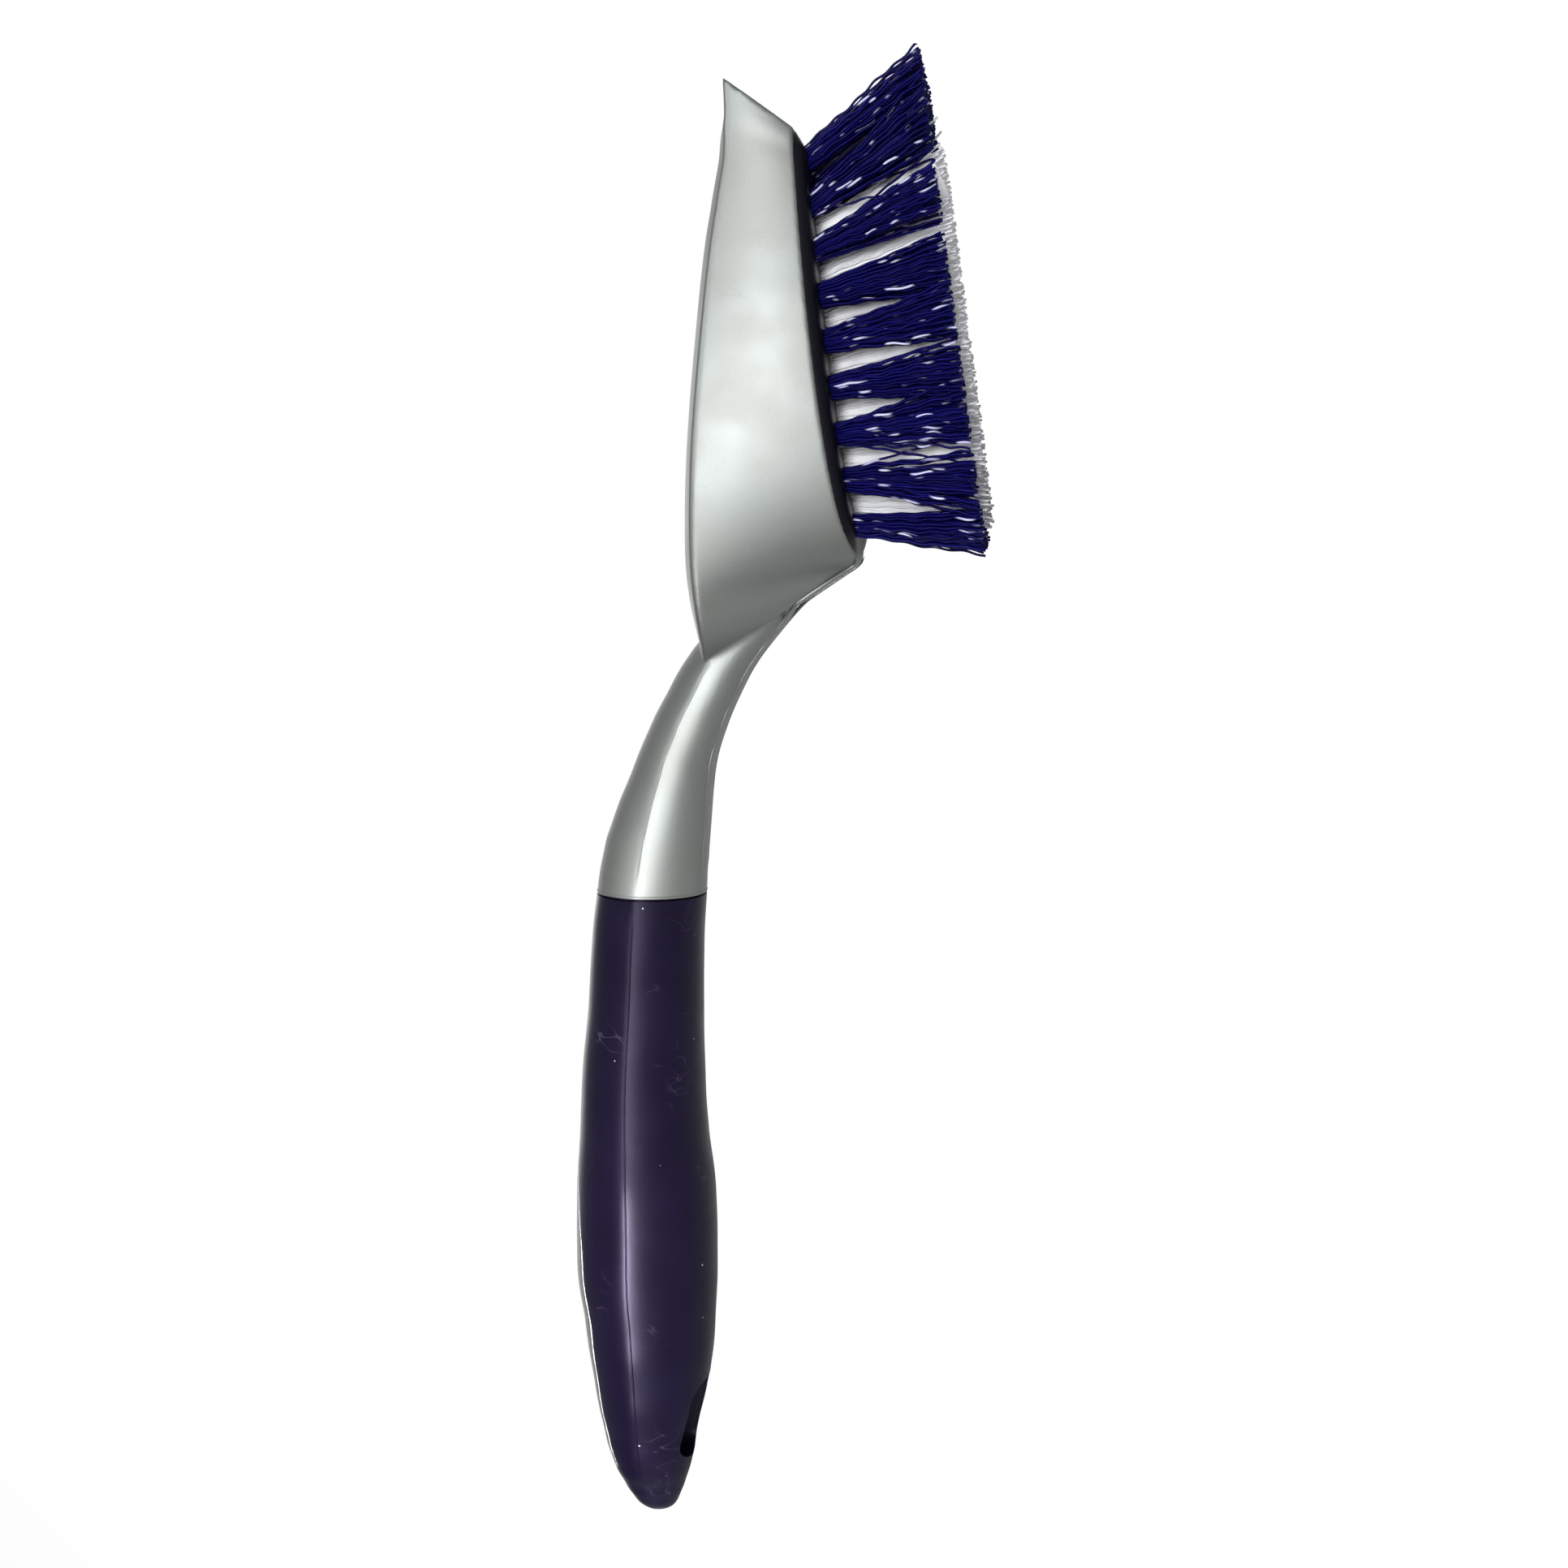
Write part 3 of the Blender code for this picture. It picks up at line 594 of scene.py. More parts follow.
def corner_stops(start, end, first, last):
    """Places along a plan with round corners, each with how far the side is drawn in there."""
    angle = np.linspace(0, math.pi / 2, BLOCK_CORNER_RINGS)
    ahead, drawn = 1 - np.cos(angle), 1 - np.sin(angle)
    between = np.linspace(start + first, end - last, BLOCK_SIDE_RINGS + 2)[1:-1]
    low = list(zip(start + first * ahead, first * drawn))
    high = list(zip((end - last * ahead)[::-1], (last * drawn)[::-1]))
    return low + [(x, 0.0) for x in between] + high


def block_rings():
    """Rings of the slab that closes the mouth of the head, just inside the outline of its rim."""
    rings = []
    start, end = HEEL_EDGE + BLOCK_HEEL_INSET, TOE_EDGE - BLOCK_INSET
    for x, drawn in corner_stops(start, end, BLOCK_HEEL_RADIUS, BLOCK_CORNER_RADIUS):
        half = rim_half(x) - BLOCK_INSET - drawn
        at_toe = (end - x) / BLOCK_TOE_BEVEL + BLOCK_TOE_SHARE
        at_heel = (x - start) / BLOCK_HEEL_FADE
        proud = BLOCK_PROUD * min(1.0, at_toe, at_heel)
        top, bottom = rim_height(x) + BLOCK_SUNK, rim_height(x) - proud
        ring = [(x, 0, top), (x, half * 0.5, top), (x, half, top)]
        for turn in np.linspace(0, math.pi / 2, BLOCK_EDGE_POINTS):
            y = half - BLOCK_EDGE_RADIUS * (1 - math.cos(turn))
            ring.append((x, y, bottom + BLOCK_EDGE_RADIUS * (1 - math.sin(turn))))
        ring += [(x, half * 0.5, bottom), (x, 0, bottom)]
        ring = np.array(ring)
        rings.append(np.concatenate([ring, ring[-2:0:-1] * (1, -1, 1)]))
    return rings


def distances(mesh_object, points):
    """How far each point is from the surface of an object."""
    tree = BVHTree.FromObject(mesh_object, bpy.context.evaluated_depsgraph_get())
    return np.array([tree.find_nearest(point)[3] for point in points])


def make_head_and_neck():
    """The painted moulding down to the grip's joint, with a soft crease where the neck leaves the head."""
    head = loft("head_and_neck", [head_ring(row) for row in STATIONS])
    far = HANDLE[-1, 0]
    joint = GRIP_LENGTH + CLEARANCE
    neck = loft("neck_blank", [handle_ring(x) for x in np.linspace(joint, far, NECK_RINGS)])
    head_copy = head.copy()
    head_copy.data = head.data.copy()
    bpy.context.scene.collection.objects.link(head_copy)
    neck_copy = neck.copy()
    bpy.context.scene.collection.objects.link(neck_copy)
    combine(head, "UNION", neck)
    remesh = head.modifiers.new("remesh", "REMESH")
    remesh.mode = "VOXEL"
    remesh.voxel_size = VOXEL
    remesh.use_smooth_shade = True
    apply(head)
    points = [vertex.co.copy() for vertex in head.data.vertices]
    gap = np.maximum(distances(head_copy, points), distances(neck_copy, points))
    weight = np.clip(CREASE_FULL - gap / CREASE_REACH, 0, 1)
    group = head.vertex_groups.new(name="crease")
    for index in np.nonzero(weight)[0].tolist():
        group.add([index], float(weight[index]), "REPLACE")
    bpy.data.objects.remove(head_copy)
    bpy.data.objects.remove(neck_copy)
    for name, steps, where in (("even", SMOOTH_STEPS, ""), ("fillet", FILLET_STEPS, group.name)):
        modifier = head.modifiers.new(name, "SMOOTH")
        modifier.factor = SMOOTH_FACTOR
        modifier.iterations = steps
        modifier.vertex_group = where
    apply(head)
    return head


def bead(name, path, radius, closed=False):
    """A thin round cord along a path, as a moulded line or a lip; an open one thins out at its ends."""
    path = np.asarray(path)
    run = np.append(0, np.cumsum(np.linalg.norm(np.diff(path, axis=0), axis=1)))
    thick = radius * np.clip(np.minimum(run, run[-1] - run) / BEAD_FADE, BEAD_LEAST, 1)
    if closed:
        tangent = np.roll(path, -1, 0) - np.roll(path, 1, 0)
    else:
        tangent = np.gradient(path, axis=0)
    tangent /= np.linalg.norm(tangent, axis=1)[:, None]
    lengthwise = abs(tangent[:, 0]).mean() > 0.5
    first = np.cross(tangent, (0.0, 0.6, 0.8) if lengthwise else (1.0, 0.0, 0.0))
    first /= np.linalg.norm(first, axis=1)[:, None]
    second = np.cross(tangent, first)
    turn = 2 * math.pi * np.arange(BEAD_SIDES) / BEAD_SIDES
    ring = np.cos(turn)[None, :, None] * first[:, None] + np.sin(turn)[None, :, None] * second[:, None]
    rings = path[:, None] + ring * (radius if closed else thick[:, None, None])
    if closed:
        rings = np.concatenate([rings, rings[:1]])
    return loft(name, rings)


def ridge_path(start, end, side, sunk):
    """The line along one side of the handle where its back and its side meet."""
    x = np.linspace(start, end, RIDGE_POINTS)
    back, front, half = handle_at(x)
    return np.stack([x, side * (half - sunk), front + (back - front) * WIDEST_SHARE], axis=1)


def make_ridges(name, start, end):
    """The fine moulded lines along both sides of a stretch of the handle."""
    sunk = RIDGE_RADIUS - RIDGE_PROUD
    paths = {f"{name}_{title}": ridge_path(start, end, side, sunk) for title, side in SIDES}
    return [bead(title, path, RIDGE_RADIUS) for title, path in paths.items()]


def corner_path(side):
    """The edge where the side of the neck and of the head's heel turns onto the underside."""
    x = np.linspace(GRIP_LENGTH + CORNER_START, STATIONS[-1, 3] - CORNER_END, CORNER_POINTS)
    back, front, half = handle_at(x)
    widest = front + (back - front) * WIDEST_SHARE
    along = np.clip((x - GRIP_LENGTH) / NECK_LENGTH, 0, 1)
    power = GRIP_ROUNDNESS + (NECK_FRONT_ROUNDNESS - GRIP_ROUNDNESS) * along
    wide = (1 - CORNER_DEPTH**power) ** (1 / power)
    height = widest + (front + CORNER_SUNK - widest) * CORNER_DEPTH
    neck = np.stack([x, side * half * wide, height], axis=1)
    rim = STATIONS[:HEEL_STATION - 1:-1]
    head = np.stack([rim[:, 3], side * rim[:, 5], rim[:, 4]], axis=1)
    path = np.concatenate([neck, head])
    for _ in range(CORNER_PASSES):
        path[1:-1] = (path[:-2] + 2 * path[1:-1] + path[2:]) / 4
    return path


def make_corners():
    return [bead(f"underside_edge_{title}", corner_path(side), CORNER_RADIUS) for title, side in SIDES]


def make_joint_lip():
    """The worn, slightly raised end of the painted neck where the soft grip begins."""
    at = GRIP_LENGTH + CLEARANCE + LIP_RADIUS
    return bead("joint_lip", handle_ring(at, LIP_RADIUS - LIP_PROUD), LIP_RADIUS, closed=True)


def window_prism(shrink):
    """A drop-shaped column above the middle of the grip."""
    rows = np.array(WINDOW_OUTLINE) * MM
    rows[0, 0] += shrink
    rows[-1, 0] -= shrink * WINDOW_POINT_CLEARANCES
    butt_end = np.linspace(rows[0, 0], rows[3, 0], WINDOW_END_STEPS)[:-1]
    x = np.concatenate([butt_end, np.linspace(rows[3, 0], rows[-1, 0], WINDOW_SIDE_STEPS)])
    y = np.maximum(smooth(rows[:, 0], rows[:, 1], x) - shrink, WINDOW_POINT_HALF)
    outline = np.concatenate([np.stack([x, y], 1), np.stack([x, -y], 1)[::-1]])
    outline[:, 0] += WINDOW_FROM_BUTT
    levels = (SPINE_FOOT_HEIGHT, SLEEVE_HEIGHT)
    return [np.column_stack([outline, np.full(len(outline), z)]) for z in levels]


def grip_form(name):
    stops = np.unique(np.concatenate([butt_stops(), np.linspace(BUTT_DOME, GRIP_LENGTH, GRIP_RINGS)]))
    return loft(name, [handle_ring(x) for x in stops])


def slot_ring(grow, height):
    """A stadium round the hang slot, grown on all sides, at a height that may change along the handle."""
    half_width = SLOT_WIDTH / 2 + grow
    half_run = (SLOT_LENGTH - SLOT_WIDTH) / 2
    angle = 2 * math.pi * (np.arange(SLOT_SIDES) + 0.5) / SLOT_SIDES
    x = SLOT_FROM_BUTT + np.copysign(half_run, np.cos(angle)) + half_width * np.cos(angle)
    near = SLOT_WIDTH / 2 + grow * SLOT_NEAR_FLARE / SLOT_FLARE
    y = np.sin(angle) * np.where(np.sin(angle) < 0, near, half_width)
    return np.stack([x, y, height(x)], axis=1)


def slot_cutter():
    """The hang slot with its mouth at the front opened out over the flare's depth."""
    rings = [slot_ring(SLOT_FLARE, lambda x: np.full(len(x), -SLEEVE_HEIGHT))]
    for deep, wide in SLOT_MOUTH:
        under = SLOT_FLARE_DEPTH * deep
        rings.append(slot_ring(SLOT_FLARE * wide, lambda x, under=under: handle_at(x)[1] + under))
    rings.append(slot_ring(0.0, lambda x: np.full(len(x), SLEEVE_HEIGHT)))
    return rings


def make_spine():
    spine = loft("grip_spine", window_prism(CLEARANCE))
    combine(spine, "INTERSECT", grip_form("spine_surface"))
    combine(spine, "DIFFERENCE", loft("spine_slot", slot_cutter()))
    shade(spine)
    return spine


def make_grip():
    """The soft sleeve with the window at its back and the hang slot."""
    grip = grip_form("soft_grip")
    combine(grip, "DIFFERENCE", loft("back_window", window_prism(0.0)))
    combine(grip, "DIFFERENCE", loft("hang_slot", slot_cutter()))
    ends = (GRIP_LENGTH - COLLAR_START, GRIP_LENGTH + COLLAR_END)
    combine(grip, "UNION", loft("collar", [handle_ring(x, COLLAR_INSET) for x in ends]))
    shade(grip)
    return grip


def tuft_places():
    """Name, foot on the block's face, direction, colour and whether it stands inside its row."""
    first, last = TOE_EDGE - TUFT_TOE_MARGIN, HEEL_EDGE + TUFT_HEEL_MARGIN
    pitch = (first - last) / (TUFTS_IN_ROW - 1)
    places = []
    for row, title in zip(range(-2, 3), ROW_NAMES):
        staggered = row in STAGGERED_ROWS
        for i in range(TUFTS_IN_ROW - staggered):
            x = first - pitch * (i + 0.5 * staggered)
            outermost = rim_half(x) - TUFT_SIDE_MARGIN
            foot = Vector((x, outermost * row / 2, rim_height(x) - BLOCK_PROUD))
            share = (x - last) / (first - last)
            lean = HEEL_LEAN + (TOE_LEAN - HEEL_LEAN) * share**LEAN_POWER
            if row in OUTER_ROWS:
                apart = (x - WIDE_GAP_AT) / WIDE_GAP_REACH
                lean += WIDE_GAP_LEAN * apart * math.exp(-apart * apart)
            way = Vector((math.tan(lean), math.tan(ROW_FAN * row), -1)).normalized()
            blue = row in OUTER_ROWS or i == 0 or (row == 0 and i in (1, TUFTS_IN_ROW - 1))
            inner = 0 < i < TUFTS_IN_ROW - 1 - staggered
            places.append((f"tuft_{title}_{i + 1}", foot, way, blue, inner))
    return places


def trim_plane(proud):
    """A point and the normal of the surface that the tips are trimmed to."""
    heel = HEEL_EDGE + TRIM_START
    point = Vector((heel, 0, rim_height(heel) - BRISTLE_DROP_AT_HEEL - proud))
    return point, Vector((math.sin(TRIM_ANGLE), 0, -math.cos(TRIM_ANGLE)))


def floor_plane():
    """The floor in the brush's own frame."""
    inverse = BRUSH.inverted()
    return inverse @ Vector((0, 0, 0)), inverse.to_3x3() @ Vector((0, 0, -1))


def make_block(places):
    """The dark block with a shallow pocket round each tuft."""
    block = loft("dark_block", block_rings())
    pockets = bmesh.new()
    for _, foot, way, _, _ in places:
        turn = way.to_track_quat("Z", "Y").to_matrix().to_4x4()
        bmesh.ops.create_cone(
            pockets,
            cap_ends=True,
            segments=POCKET_SIDES,
            radius1=POCKET_DIAMETER / 2,
            radius2=POCKET_DIAMETER / 2,
            depth=2 * POCKET_DEPTH,
            matrix=Matrix.Translation(foot) @ turn,
        )
    mesh = bpy.data.meshes.new("pockets")
    pockets.to_mesh(mesh)
    pockets.free()
    combine(block, "DIFFERENCE", new_object("pockets", mesh))
    shade(block)
    return block


def across(way):
    """Two directions square to a tuft's own."""
    side = Vector((0, 1, 0)).cross(way).normalized()
    return np.array(side), np.array(way.cross(side))


def tube_faces(sides, rings):
    """Side and end faces of a tube whose rings follow each other in one list of points."""
    around = np.arange(sides)
    after = (around + 1) % sides
    quad = np.stack([around, after, after + sides, around + sides], axis=1)
    walls = (quad[None] + (np.arange(rings - 1) * sides)[:, None, None]).reshape(-1, 4)
    return walls.tolist() + [around[::-1].tolist(), (around + (rings - 1) * sides).tolist()]


def core_points(foot, along, side, other, length, radius, spread):
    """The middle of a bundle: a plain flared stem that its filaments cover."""
    share = np.linspace(0, CORE_LENGTH_SHARE, CORE_RINGS)[:, None, None]
    turn = 2 * math.pi * np.arange(CORE_SIDES) / CORE_SIDES
    wide = radius * (1 + (spread - 1) * share)
    deep = radius * (1 + (SPREAD_ACROSS - 1) * share)
    ring = np.cos(turn)[None, :, None] * side * wide + np.sin(turn)[None, :, None] * other * deep
    return foot + along * length * share + ring


def packed_places(filaments, number):
    """Where the filaments of a bundle stand at its root, as shares of its radius."""
    share = np.sqrt((np.arange(filaments) + 0.5) / filaments)
    angle = np.arange(filaments) * GOLDEN_ANGLE + number
    return np.stack([share * np.cos(angle), share * np.sin(angle)], 1)


def opened_places(rng, base, spread, inner):
    """Where their tips stand: spread out and scattered, with a few strays in a tuft inside its row."""
    filaments = len(base)
    tip = base * (spread, SPREAD_ACROSS) + rng.normal(0, TIP_SCATTER, (filaments, 2))
    stray = rng.random(filaments) < STRAY_SHARE * inner
    tip[:, 0] += np.where(stray, rng.choice((-1, 1), filaments) * STRAY_REACH, 0)
    return tip


def crimp(rng, base):
    """The wave of each filament in a bundle: phase, direction, height and length."""
    filaments = len(base)
    phase = rng.uniform(0, 2 * math.pi) + base @ rng.normal(0, CRIMP_PHASE_DRIFT, 2)
    phase = phase + rng.normal(0, CRIMP_PHASE_SCATTER, filaments)
    swing = rng.normal(0, CRIMP_SWING_SCATTER, filaments)
    height = CRIMP_HEIGHT * rng.uniform(*CRIMP_HEIGHT_RANGE, filaments)
    pitch = CRIMP_LENGTH * rng.uniform(*CRIMP_LENGTH_IN_TUFTS)
    pitch = pitch * rng.uniform(*CRIMP_LENGTH_IN_TUFT, filaments)
    return np.stack([phase, swing, height, pitch], 1)


def waves(t, run, phase, swing, height, pitch):
    """Sideways offsets along one filament, which starts straight at its root."""
    turns = 2 * math.pi * run * t / pitch + phase
    wave = height * (np.sin(turns) + SLOW_WAVE * np.sin(turns * SLOW_WAVE_RATE))
    wave = wave * np.minimum(1, t / CRIMP_FULL_FROM)
    return wave[:, None] * (math.cos(swing), math.sin(swing))


def bundle(name, points, core, filaments, blue):
    """One mesh of all filaments and of their core, which has a plainer look."""
    one, each = tube_faces(FILAMENT_SIDES, FILAMENT_RINGS), FILAMENT_RINGS * FILAMENT_SIDES
    faces = [[v + k * each for v in face] for k in range(filaments) for face in one]
    thin = len(faces)
    faces += [[v + len(points) for v in face] for face in tube_faces(CORE_SIDES, CORE_RINGS)]
    mesh = bpy.data.meshes.new(name)
    mesh.from_pydata(np.concatenate([points, core]).tolist(), [], faces)
    mesh.materials.append(BLUE if blue else WHITE)
    mesh.materials.append(BLUE_CORE if blue else WHITE)
    mesh.polygons.foreach_set("material_index", (np.arange(len(faces)) >= thin).astype(np.int32))
    mesh.shade_smooth()
    return new_object(name, mesh)


def make_tuft(name, foot, way, blue, inner, number, filaments):
    """A bundle of crimped filaments that opens out towards its trimmed tips."""
    rng = np.random.default_rng(FIRST_SEED + number)
    way = (way + Vector((math.tan(rng.normal(0, TUFT_LEAN_SCATTER)), 0, 0))).normalized()
    side, other = across(way)
    foot, along = np.array(foot), np.array(way)
    spread = SPREAD_ALONG_ROW if inner else SPREAD_AT_ROW_ENDS
    base = packed_places(filaments, number)
    tip = opened_places(rng, base, spread, inner)
    crimps = crimp(rng, base)
    short = rng.uniform(0, BLUE_LENGTH_SCATTER if blue else WHITE_LENGTH_SCATTER, filaments)
    radius = POCKET_DIAMETER / 2 - FILAMENT_RADIUS
    planes = [trim_plane(0.0 if blue else WHITE_PROUD), floor_plane()]
    turn = 2 * math.pi * np.arange(FILAMENT_SIDES) / FILAMENT_SIDES
    ring = (np.cos(turn)[:, None] * side + np.sin(turn)[:, None] * other) * FILAMENT_RADIUS
    t = np.linspace(0, 1, FILAMENT_RINGS)
    points = []
    for k in range(filaments):
        end = foot + (side * tip[k, 0] + other * tip[k, 1]) * radius
        length = min((np.array(p) - end) @ np.array(n) / (along @ np.array(n)) for p, n in planes)
        run = length - short[k] + ROOT_DEPTH
        lateral = radius * (base[k] + (tip[k] - base[k]) * t[:, None] ** OPENING_POWER)
        lateral += waves(t, run, *crimps[k])
        line = foot + along * (run * t - ROOT_DEPTH)[:, None]
        line = line + lateral[:, :1] * side + lateral[:, 1:] * other
        points.append(line[:, None] + ring)
    core_radius = radius * (CORE_WIDTH_SHARE if blue else WHITE_CORE_WIDTH_SHARE)
    core = core_points(foot, along, side, other, length, core_radius, spread)
    return bundle(name, np.concatenate(points).reshape(-1, 3), core.reshape(-1, 3), filaments, blue)


def keep_in_box(obj):
    """Holds a finished piece within the CAD model's box."""
    low, high = np.array(CAD_BOX[0]), np.array(CAD_BOX[1])
    co = np.zeros(len(obj.data.vertices) * 3)
    obj.data.vertices.foreach_get("co", co)
    co = np.clip(co.reshape(-1, 3), low, high)
    obj.data.vertices.foreach_set("co", co.ravel())
    obj.data.update()


def principled(name, colour, metallic=0.0, specular=0.5, roughness=0.5):
    """A material whose colour and roughness hold where no node feeds them."""
    material = bpy.data.materials.new(name)
    material.use_nodes = True
    shader = material.node_tree.nodes["Principled BSDF"]
    shader.inputs["Base Color"].default_value = (*colour, 1)
    shader.inputs["Metallic"].default_value = metallic
    shader.inputs["Specular IOR Level"].default_value = specular
    shader.inputs["Roughness"].default_value = roughness
    return material


class Nodes:
    """Adds nodes to one material."""

    def __init__(self, material):
        self.material = material
        self.tree = material.node_tree
        self.shader = self.tree.nodes["Principled BSDF"]
        self.place = self.tree.nodes.new("ShaderNodeTexCoord").outputs["Object"]

    def link(self, output, socket):
        self.tree.links.new(output, socket)

    def tint(self, colour):
        self.shader.inputs["Specular Tint"].default_value = (*colour, 1)

    def feed(self, colour, roughness, normal):
        for name, output in (("Base Color", colour), ("Roughness", roughness), ("Normal", normal)):
            self.link(output, self.shader.inputs[name])

    def stretched(self, scale, turn=(0, 0, 0)):
        """Places for a noise whose blotches are drawn out and turned."""
        node = self.tree.nodes.new("ShaderNodeMapping")
        node.inputs["Scale"].default_value = scale
        node.inputs["Rotation"].default_value = turn
        self.link(self.place, node.inputs["Vector"])
        return node.outputs[0]

    def noise(self, size, detail=NOISE_DETAIL, place=None, shift=None):
        """Noise whose blotches are about size metres across, another one for each value of a shift."""
        node = self.tree.nodes.new("ShaderNodeTexNoise")
        if shift:
            node.noise_dimensions = "4D"
            self.link(shift, node.inputs["W"])
        node.inputs["Scale"].default_value = 1 / size
        node.inputs["Detail"].default_value = detail
        self.link(place or self.place, node.inputs["Vector"])
        return node.outputs[0]

    def between(self, value, low, high, to_low=0.0, to_high=1.0):
        """Goes smoothly from to_low to to_high while a value goes from low to high."""
        node = self.tree.nodes.new("ShaderNodeMapRange")
        node.interpolation_type = "SMOOTHSTEP"
        numbers = {"From Min": low, "From Max": high, "To Min": to_low, "To Max": to_high}
        for name, number in numbers.items():
            node.inputs[name].default_value = number
        self.link(value, node.inputs["Value"])
        return node.outputs[0]

    def blend(self, share, first, second):
        """A colour between two, either of which may be another node's output."""
        node = self.tree.nodes.new("ShaderNodeMix")
        node.data_type = "RGBA"
        self.link(share, node.inputs["Factor"])
        colour_sockets = node.inputs[6], node.inputs[7]
        for socket, colour in zip(colour_sockets, (first, second)):
            if isinstance(colour, tuple):
                socket.default_value = (*colour, 1)
            else:
                self.link(colour, socket)
        return node.outputs[2]

    def math(self, operation, first, second):
        node = self.tree.nodes.new("ShaderNodeMath")
        node.operation = operation
        for socket, value in zip(node.inputs, (first, second)):
            if isinstance(value, (int, float)):
                socket.default_value = value
            else:
                self.link(value, socket)
        return node.outputs[0]

    def bump(self, height, deep, under=None):
        """Relief as deep as deep metres for a height of one."""
        node = self.tree.nodes.new("ShaderNodeBump")
        node.inputs["Distance"].default_value = deep
        self.link(height, node.inputs["Height"])
        if under:
            self.link(under, node.inputs["Normal"])
        return node.outputs[0]

    def scratches(self, size, scale, turn, width):
        """Sparse thin marks: where stretched noise passes through its middle value, in a few patches."""
        lines = self.noise(size, 1.0, self.stretched(scale, turn))
        near = self.math("ABSOLUTE", self.math("SUBTRACT", lines, 0.5), 0.0)
        mark = self.between(near, 0.0, width, 1.0, 0.0)
        patch = self.between(self.noise(MARK_PATCH_SIZE, 1.0), *MARK_PATCH)
        return self.math("MULTIPLY", mark, patch)


def silver_paint():
    """Metallic paint with a fine grain, a slight orange peel and a few faint marks."""
    nodes = Nodes(principled("silver_paint", SILVER_COLOUR, SILVER_METALLIC))
    grain = nodes.noise(SILVER_GRAIN_SIZE, 3.0)
    tone = nodes.noise(SILVER_TONE_SIZE)
    marks = nodes.scratches(SILVER_MARK_SIZE, SILVER_MARK_STRETCH, SILVER_MARK_TURN, SILVER_MARK_WIDTH)
    colour = nodes.blend(nodes.between(tone, *SILVER_TONE), SILVER_COLOUR, SILVER_WARM)
    dark = nodes.between(grain, *SILVER_GRAIN, 0.0, SILVER_GRAIN_SHARE)
    colour = nodes.blend(dark, colour, SILVER_DARK)
    colour = nodes.blend(nodes.math("MULTIPLY", marks, SILVER_MARK_SHARE), colour, SILVER_MARK)
    roughness = nodes.between(tone, *NOISE_MIDDLE, *SILVER_ROUGHNESS)
    peel = nodes.bump(nodes.noise(SILVER_PEEL_SIZE), SILVER_PEEL_DEPTH)
    fine = nodes.bump(grain, SILVER_GRAIN_DEPTH, peel)
    nodes.feed(colour, roughness, nodes.bump(marks, SILVER_MARK_DEPTH, fine))
    return nodes.material


def purple_soft_grip():
    """Dark soft-touch plastic with scuffs and pale specks."""
    nodes = Nodes(principled("purple_soft_grip", PURPLE_COLOUR, 0.0, PURPLE_SPECULAR))
    nodes.tint(PURPLE_TINT)
    scuffs = nodes.scratches(PURPLE_MARK_SIZE, PURPLE_MARK_STRETCH, PURPLE_MARK_TURN, PURPLE_MARK_WIDTH)
    specks = nodes.between(nodes.noise(PURPLE_SPECK_SIZE, 1.0), *PURPLE_SPECKS)
    tone = nodes.noise(PURPLE_TONE_SIZE, 3.0)
    colour = nodes.blend(nodes.between(tone, *PURPLE_TONE), PURPLE_COLOUR, PURPLE_PALE)
    colour = nodes.blend(nodes.math("MULTIPLY", scuffs, PURPLE_MARK_SHARE), colour, PURPLE_MARK)
    colour = nodes.blend(specks, colour, PURPLE_SPECK)
    roughness = nodes.between(tone, *NOISE_MIDDLE, *PURPLE_ROUGHNESS)
    nodes.feed(colour, roughness, nodes.bump(nodes.noise(PURPLE_GRAIN_SIZE), PURPLE_GRAIN_DEPTH))
    return nodes.material


def dark_block_plastic():
    """Satin near-black plastic with a slight unevenness from moulding."""
    nodes = Nodes(principled("dark_block_plastic", BLOCK_COLOUR, 0.0, BLOCK_SPECULAR))
    tone = nodes.noise(BLOCK_TONE_SIZE)
    colour = nodes.blend(tone, BLOCK_COLOUR, BLOCK_PALE)
    roughness = nodes.between(tone, *NOISE_MIDDLE, *BLOCK_ROUGHNESS)
    nodes.feed(colour, roughness, nodes.bump(nodes.noise(BLOCK_WAVE_SIZE), BLOCK_WAVE_DEPTH))
    return nodes.material


def nylon(name, colour, other, painted_glint, tint, specular, dull):
    """Bristle plastic: its tone changes from filament to filament, and short stretches are glossier and
    carry a painted highlight, a paler colour standing in for glints.
    """
    nodes = Nodes(principled(name, colour, 0.0, specular))
    nodes.tint(tint)
    each = nodes.tree.nodes.new("ShaderNodeNewGeometry").outputs["Random Per Island"]
    by_filament = nodes.math("MULTIPLY", each, NYLON_TONE_BY_FILAMENT)
    by_place = nodes.math("MULTIPLY", nodes.noise(NYLON_TONE_SIZE), 1 - NYLON_TONE_BY_FILAMENT)
    tone = nodes.math("ADD", by_filament, by_place)
    own = nodes.math("MULTIPLY", each, STREAK_APART)
    patches = nodes.noise(STREAK_SIZE, 0.0, nodes.stretched(STREAK_STRETCH), own)
    # Painted highlight: the glint colour is laid over the filament's tone in the glossy stretches
    look = nodes.blend(nodes.between(patches, *PAINTED_GLINT_RANGE), nodes.blend(tone, colour, other), painted_glint)
    roughness = nodes.between(patches, *STREAK_GLOSS, dull, STREAK_ROUGHNESS)
    nodes.feed(look, roughness, nodes.bump(nodes.noise(NYLON_GRAIN_SIZE), NYLON_GRAIN_DEPTH))
    return nodes.material


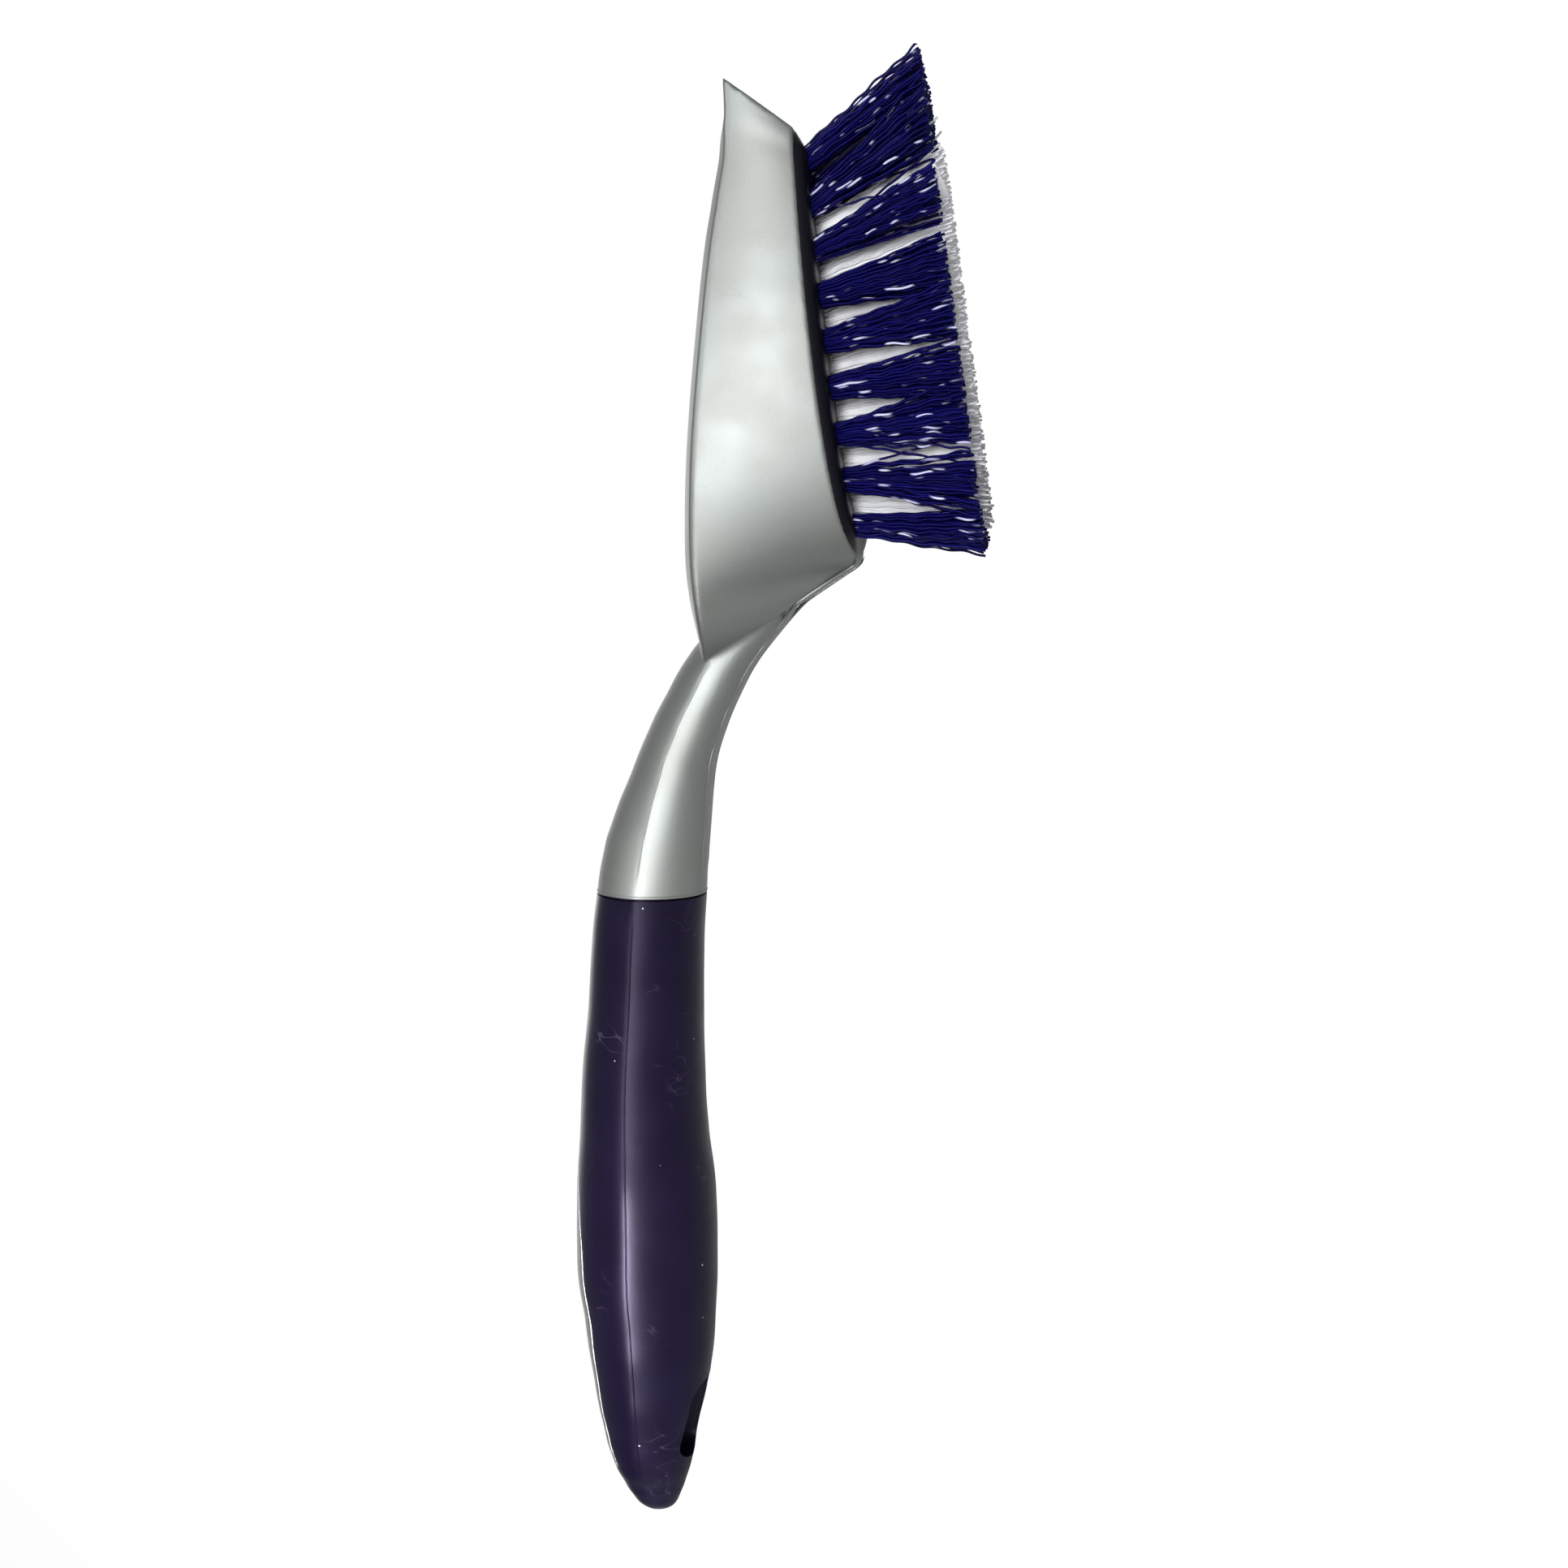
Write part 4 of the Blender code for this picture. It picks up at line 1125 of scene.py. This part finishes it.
SILVER = silver_paint()
PURPLE = purple_soft_grip()
BLACK = dark_block_plastic()
BLUE = nylon("blue_bristle", BLUE_DEEP, BLUE_LIT, BLUE_PAINTED_GLINT, BLUE_TINT, BLUE_SPECULAR, BLUE_ROUGHNESS)
# The core's glossy stretches take the lit blue as their painted highlight
BLUE_CORE = nylon("blue_core", BLUE_DEEP, BLUE_LIT, BLUE_LIT, BLUE_TINT, CORE_SPECULAR, CORE_ROUGHNESS)
WHITE = nylon(
    "white_bristle", WHITE_COOL, WHITE_GREY, WHITE_COOL, WHITE_COOL, WHITE_SPECULAR, WHITE_ROUGHNESS
)


def paint(obj, material):
    obj.data.materials.clear()
    obj.data.materials.append(material)


def dress(obj, slot, *nodes):
    """Stands a piece up with the brush, and says what it rides on and what it replaces. Its slot is not
    used.
    """
    obj.data.transform(BRUSH)
    keep_in_box(obj)
    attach(obj, "root")
    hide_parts(*nodes)


def make_moulding():
    """The painted moulding: head and neck, the spine in the grip's window, and its lip and fine lines."""
    pieces = [make_head_and_neck(), make_spine(), make_joint_lip(), *make_corners()]
    neck_end = GRIP_LENGTH + NECK_LENGTH - NECK_RIDGE_END
    pieces += make_ridges("neck_ridge", GRIP_LENGTH + CLEARANCE, neck_end)
    for piece in pieces:
        paint(piece, SILVER)
        dress(piece, "silver_paint", "body_moulding")


def make_soft_grip():
    pieces = make_ridges("grip_ridge", GRIP_RIDGE_START, GRIP_LENGTH - GRIP_RIDGE_END)
    pieces.append(make_grip())
    for piece in pieces:
        paint(piece, PURPLE)
        dress(piece, "purple_soft_grip", "grip_sleeve")


def make_tufts(places):
    for number, (name, foot, way, blue, inner) in enumerate(places):
        filaments = FILAMENTS_IN_OUTER_TUFT if "outer" in name else FILAMENTS_IN_INNER_TUFT
        tuft = make_tuft(f"bundle_{name}", foot, way, blue, inner, number, filaments)
        dress(tuft, "blue_bristle" if blue else "white_bristle", name)


def make_brush():
    places = tuft_places()
    make_moulding()
    make_soft_grip()
    block = make_block(places)
    paint(block, BLACK)
    dress(block, "dark_block_plastic", "bristle_block")
    make_tufts(places)


def make_camera():
    """The photograph's view, turned so that the brush's toe points up the picture."""
    camera = bpy.data.cameras.new("camera")
    camera.lens = CAMERA_LENS
    camera.sensor_width = CAMERA_SENSOR
    obj = new_object("camera", camera)
    forward = (CAMERA_LOOKS_AT - CAMERA_AT).normalized()
    toe = BRUSH.to_3x3() @ Vector((1, 0, 0))
    right = forward.cross(toe).normalized()
    up = right.cross(forward)
    obj.matrix_world = Matrix((right, up, -forward)).transposed().to_4x4()
    obj.location = CAMERA_AT
    bpy.context.scene.camera = obj


def make_floor():
    """A pale floor that is clear from below, because the photograph's camera stands just under it."""
    mesh = bpy.data.meshes.new("floor")
    corners = [(x * FLOOR_HALF, y * FLOOR_HALF, 0) for x, y in ((-1, -1), (1, -1), (1, 1), (-1, 1))]
    mesh.from_pydata(corners, [], [(0, 1, 2, 3)])
    floor = new_object("floor", mesh)
    material = principled("pale_floor", FLOOR_COLOUR, 0.0, FLOOR_SPECULAR, FLOOR_ROUGHNESS)
    tree = material.node_tree
    geometry = tree.nodes.new("ShaderNodeNewGeometry")
    clear = tree.nodes.new("ShaderNodeBsdfTransparent")
    mix = tree.nodes.new("ShaderNodeMixShader")
    tree.links.new(geometry.outputs["Backfacing"], mix.inputs[0])
    tree.links.new(tree.nodes["Principled BSDF"].outputs[0], mix.inputs[1])
    tree.links.new(clear.outputs[0], mix.inputs[2])
    tree.links.new(mix.outputs[0], tree.nodes["Material Output"].inputs["Surface"])
    floor.data.materials.append(material)


def ramp(tree, value, low, high, level):
    """What is added to the room's level: nothing at low, and at high what brings it up to a level."""
    node = tree.nodes.new("ShaderNodeMapRange")
    node.interpolation_type = "SMOOTHSTEP"
    node.inputs["From Min"].default_value = low
    node.inputs["From Max"].default_value = high
    node.inputs["To Max"].default_value = level - ROOM_LEVEL
    tree.links.new(value, node.inputs["Value"])
    return node.outputs[0]


def make_world():
    """A soft room, lighter overhead and near the horizon, with a white wall behind the brush."""
    world = bpy.data.worlds.new("studio")
    bpy.context.scene.world = world
    world.use_nodes = True
    tree = world.node_tree
    place = tree.nodes.new("ShaderNodeTexCoord")
    split = tree.nodes.new("ShaderNodeSeparateXYZ")
    tree.links.new(place.outputs["Generated"], split.inputs[0])
    lit = ramp(tree, split.outputs["Y"], *WALL_RAMP, WALL_LEVEL)
    for stretch, level in ((SKY_RAMP, SKY_LEVEL), (HORIZON_RAMP, HORIZON_LEVEL)):
        larger = tree.nodes.new("ShaderNodeMath")
        larger.operation = "MAXIMUM"
        tree.links.new(lit, larger.inputs[0])
        tree.links.new(ramp(tree, split.outputs["Z"], *stretch, level), larger.inputs[1])
        lit = larger.outputs[0]
    total = tree.nodes.new("ShaderNodeMath")
    total.inputs[1].default_value = ROOM_LEVEL
    tree.links.new(lit, total.inputs[0])
    tree.links.new(total.outputs[0], tree.nodes["Background"].inputs["Color"])
    tree.nodes["Background"].inputs["Strength"].default_value = 1.0


def area_light(name, at, towards, width, height, power, spread):
    lamp = bpy.data.lights.new(name, "AREA")
    lamp.shape = "RECTANGLE"
    lamp.size, lamp.size_y = width, height
    lamp.energy = power
    lamp.spread = math.radians(spread)
    obj = new_object(name, lamp)
    obj.visible_camera = False
    at, towards = Vector(at), Vector(towards)
    back = (at - towards).normalized()
    right = Vector((0, 0, 1)).cross(back).normalized()
    obj.matrix_world = Matrix((right, back.cross(right), back)).transposed().to_4x4()
    obj.location = at


def make_lights():
    for lamp in LAMPS:
        area_light(*lamp)


make_brush()
make_camera()
make_floor()
make_world()
make_lights()
bpy.context.scene.view_settings.view_transform = "Standard"
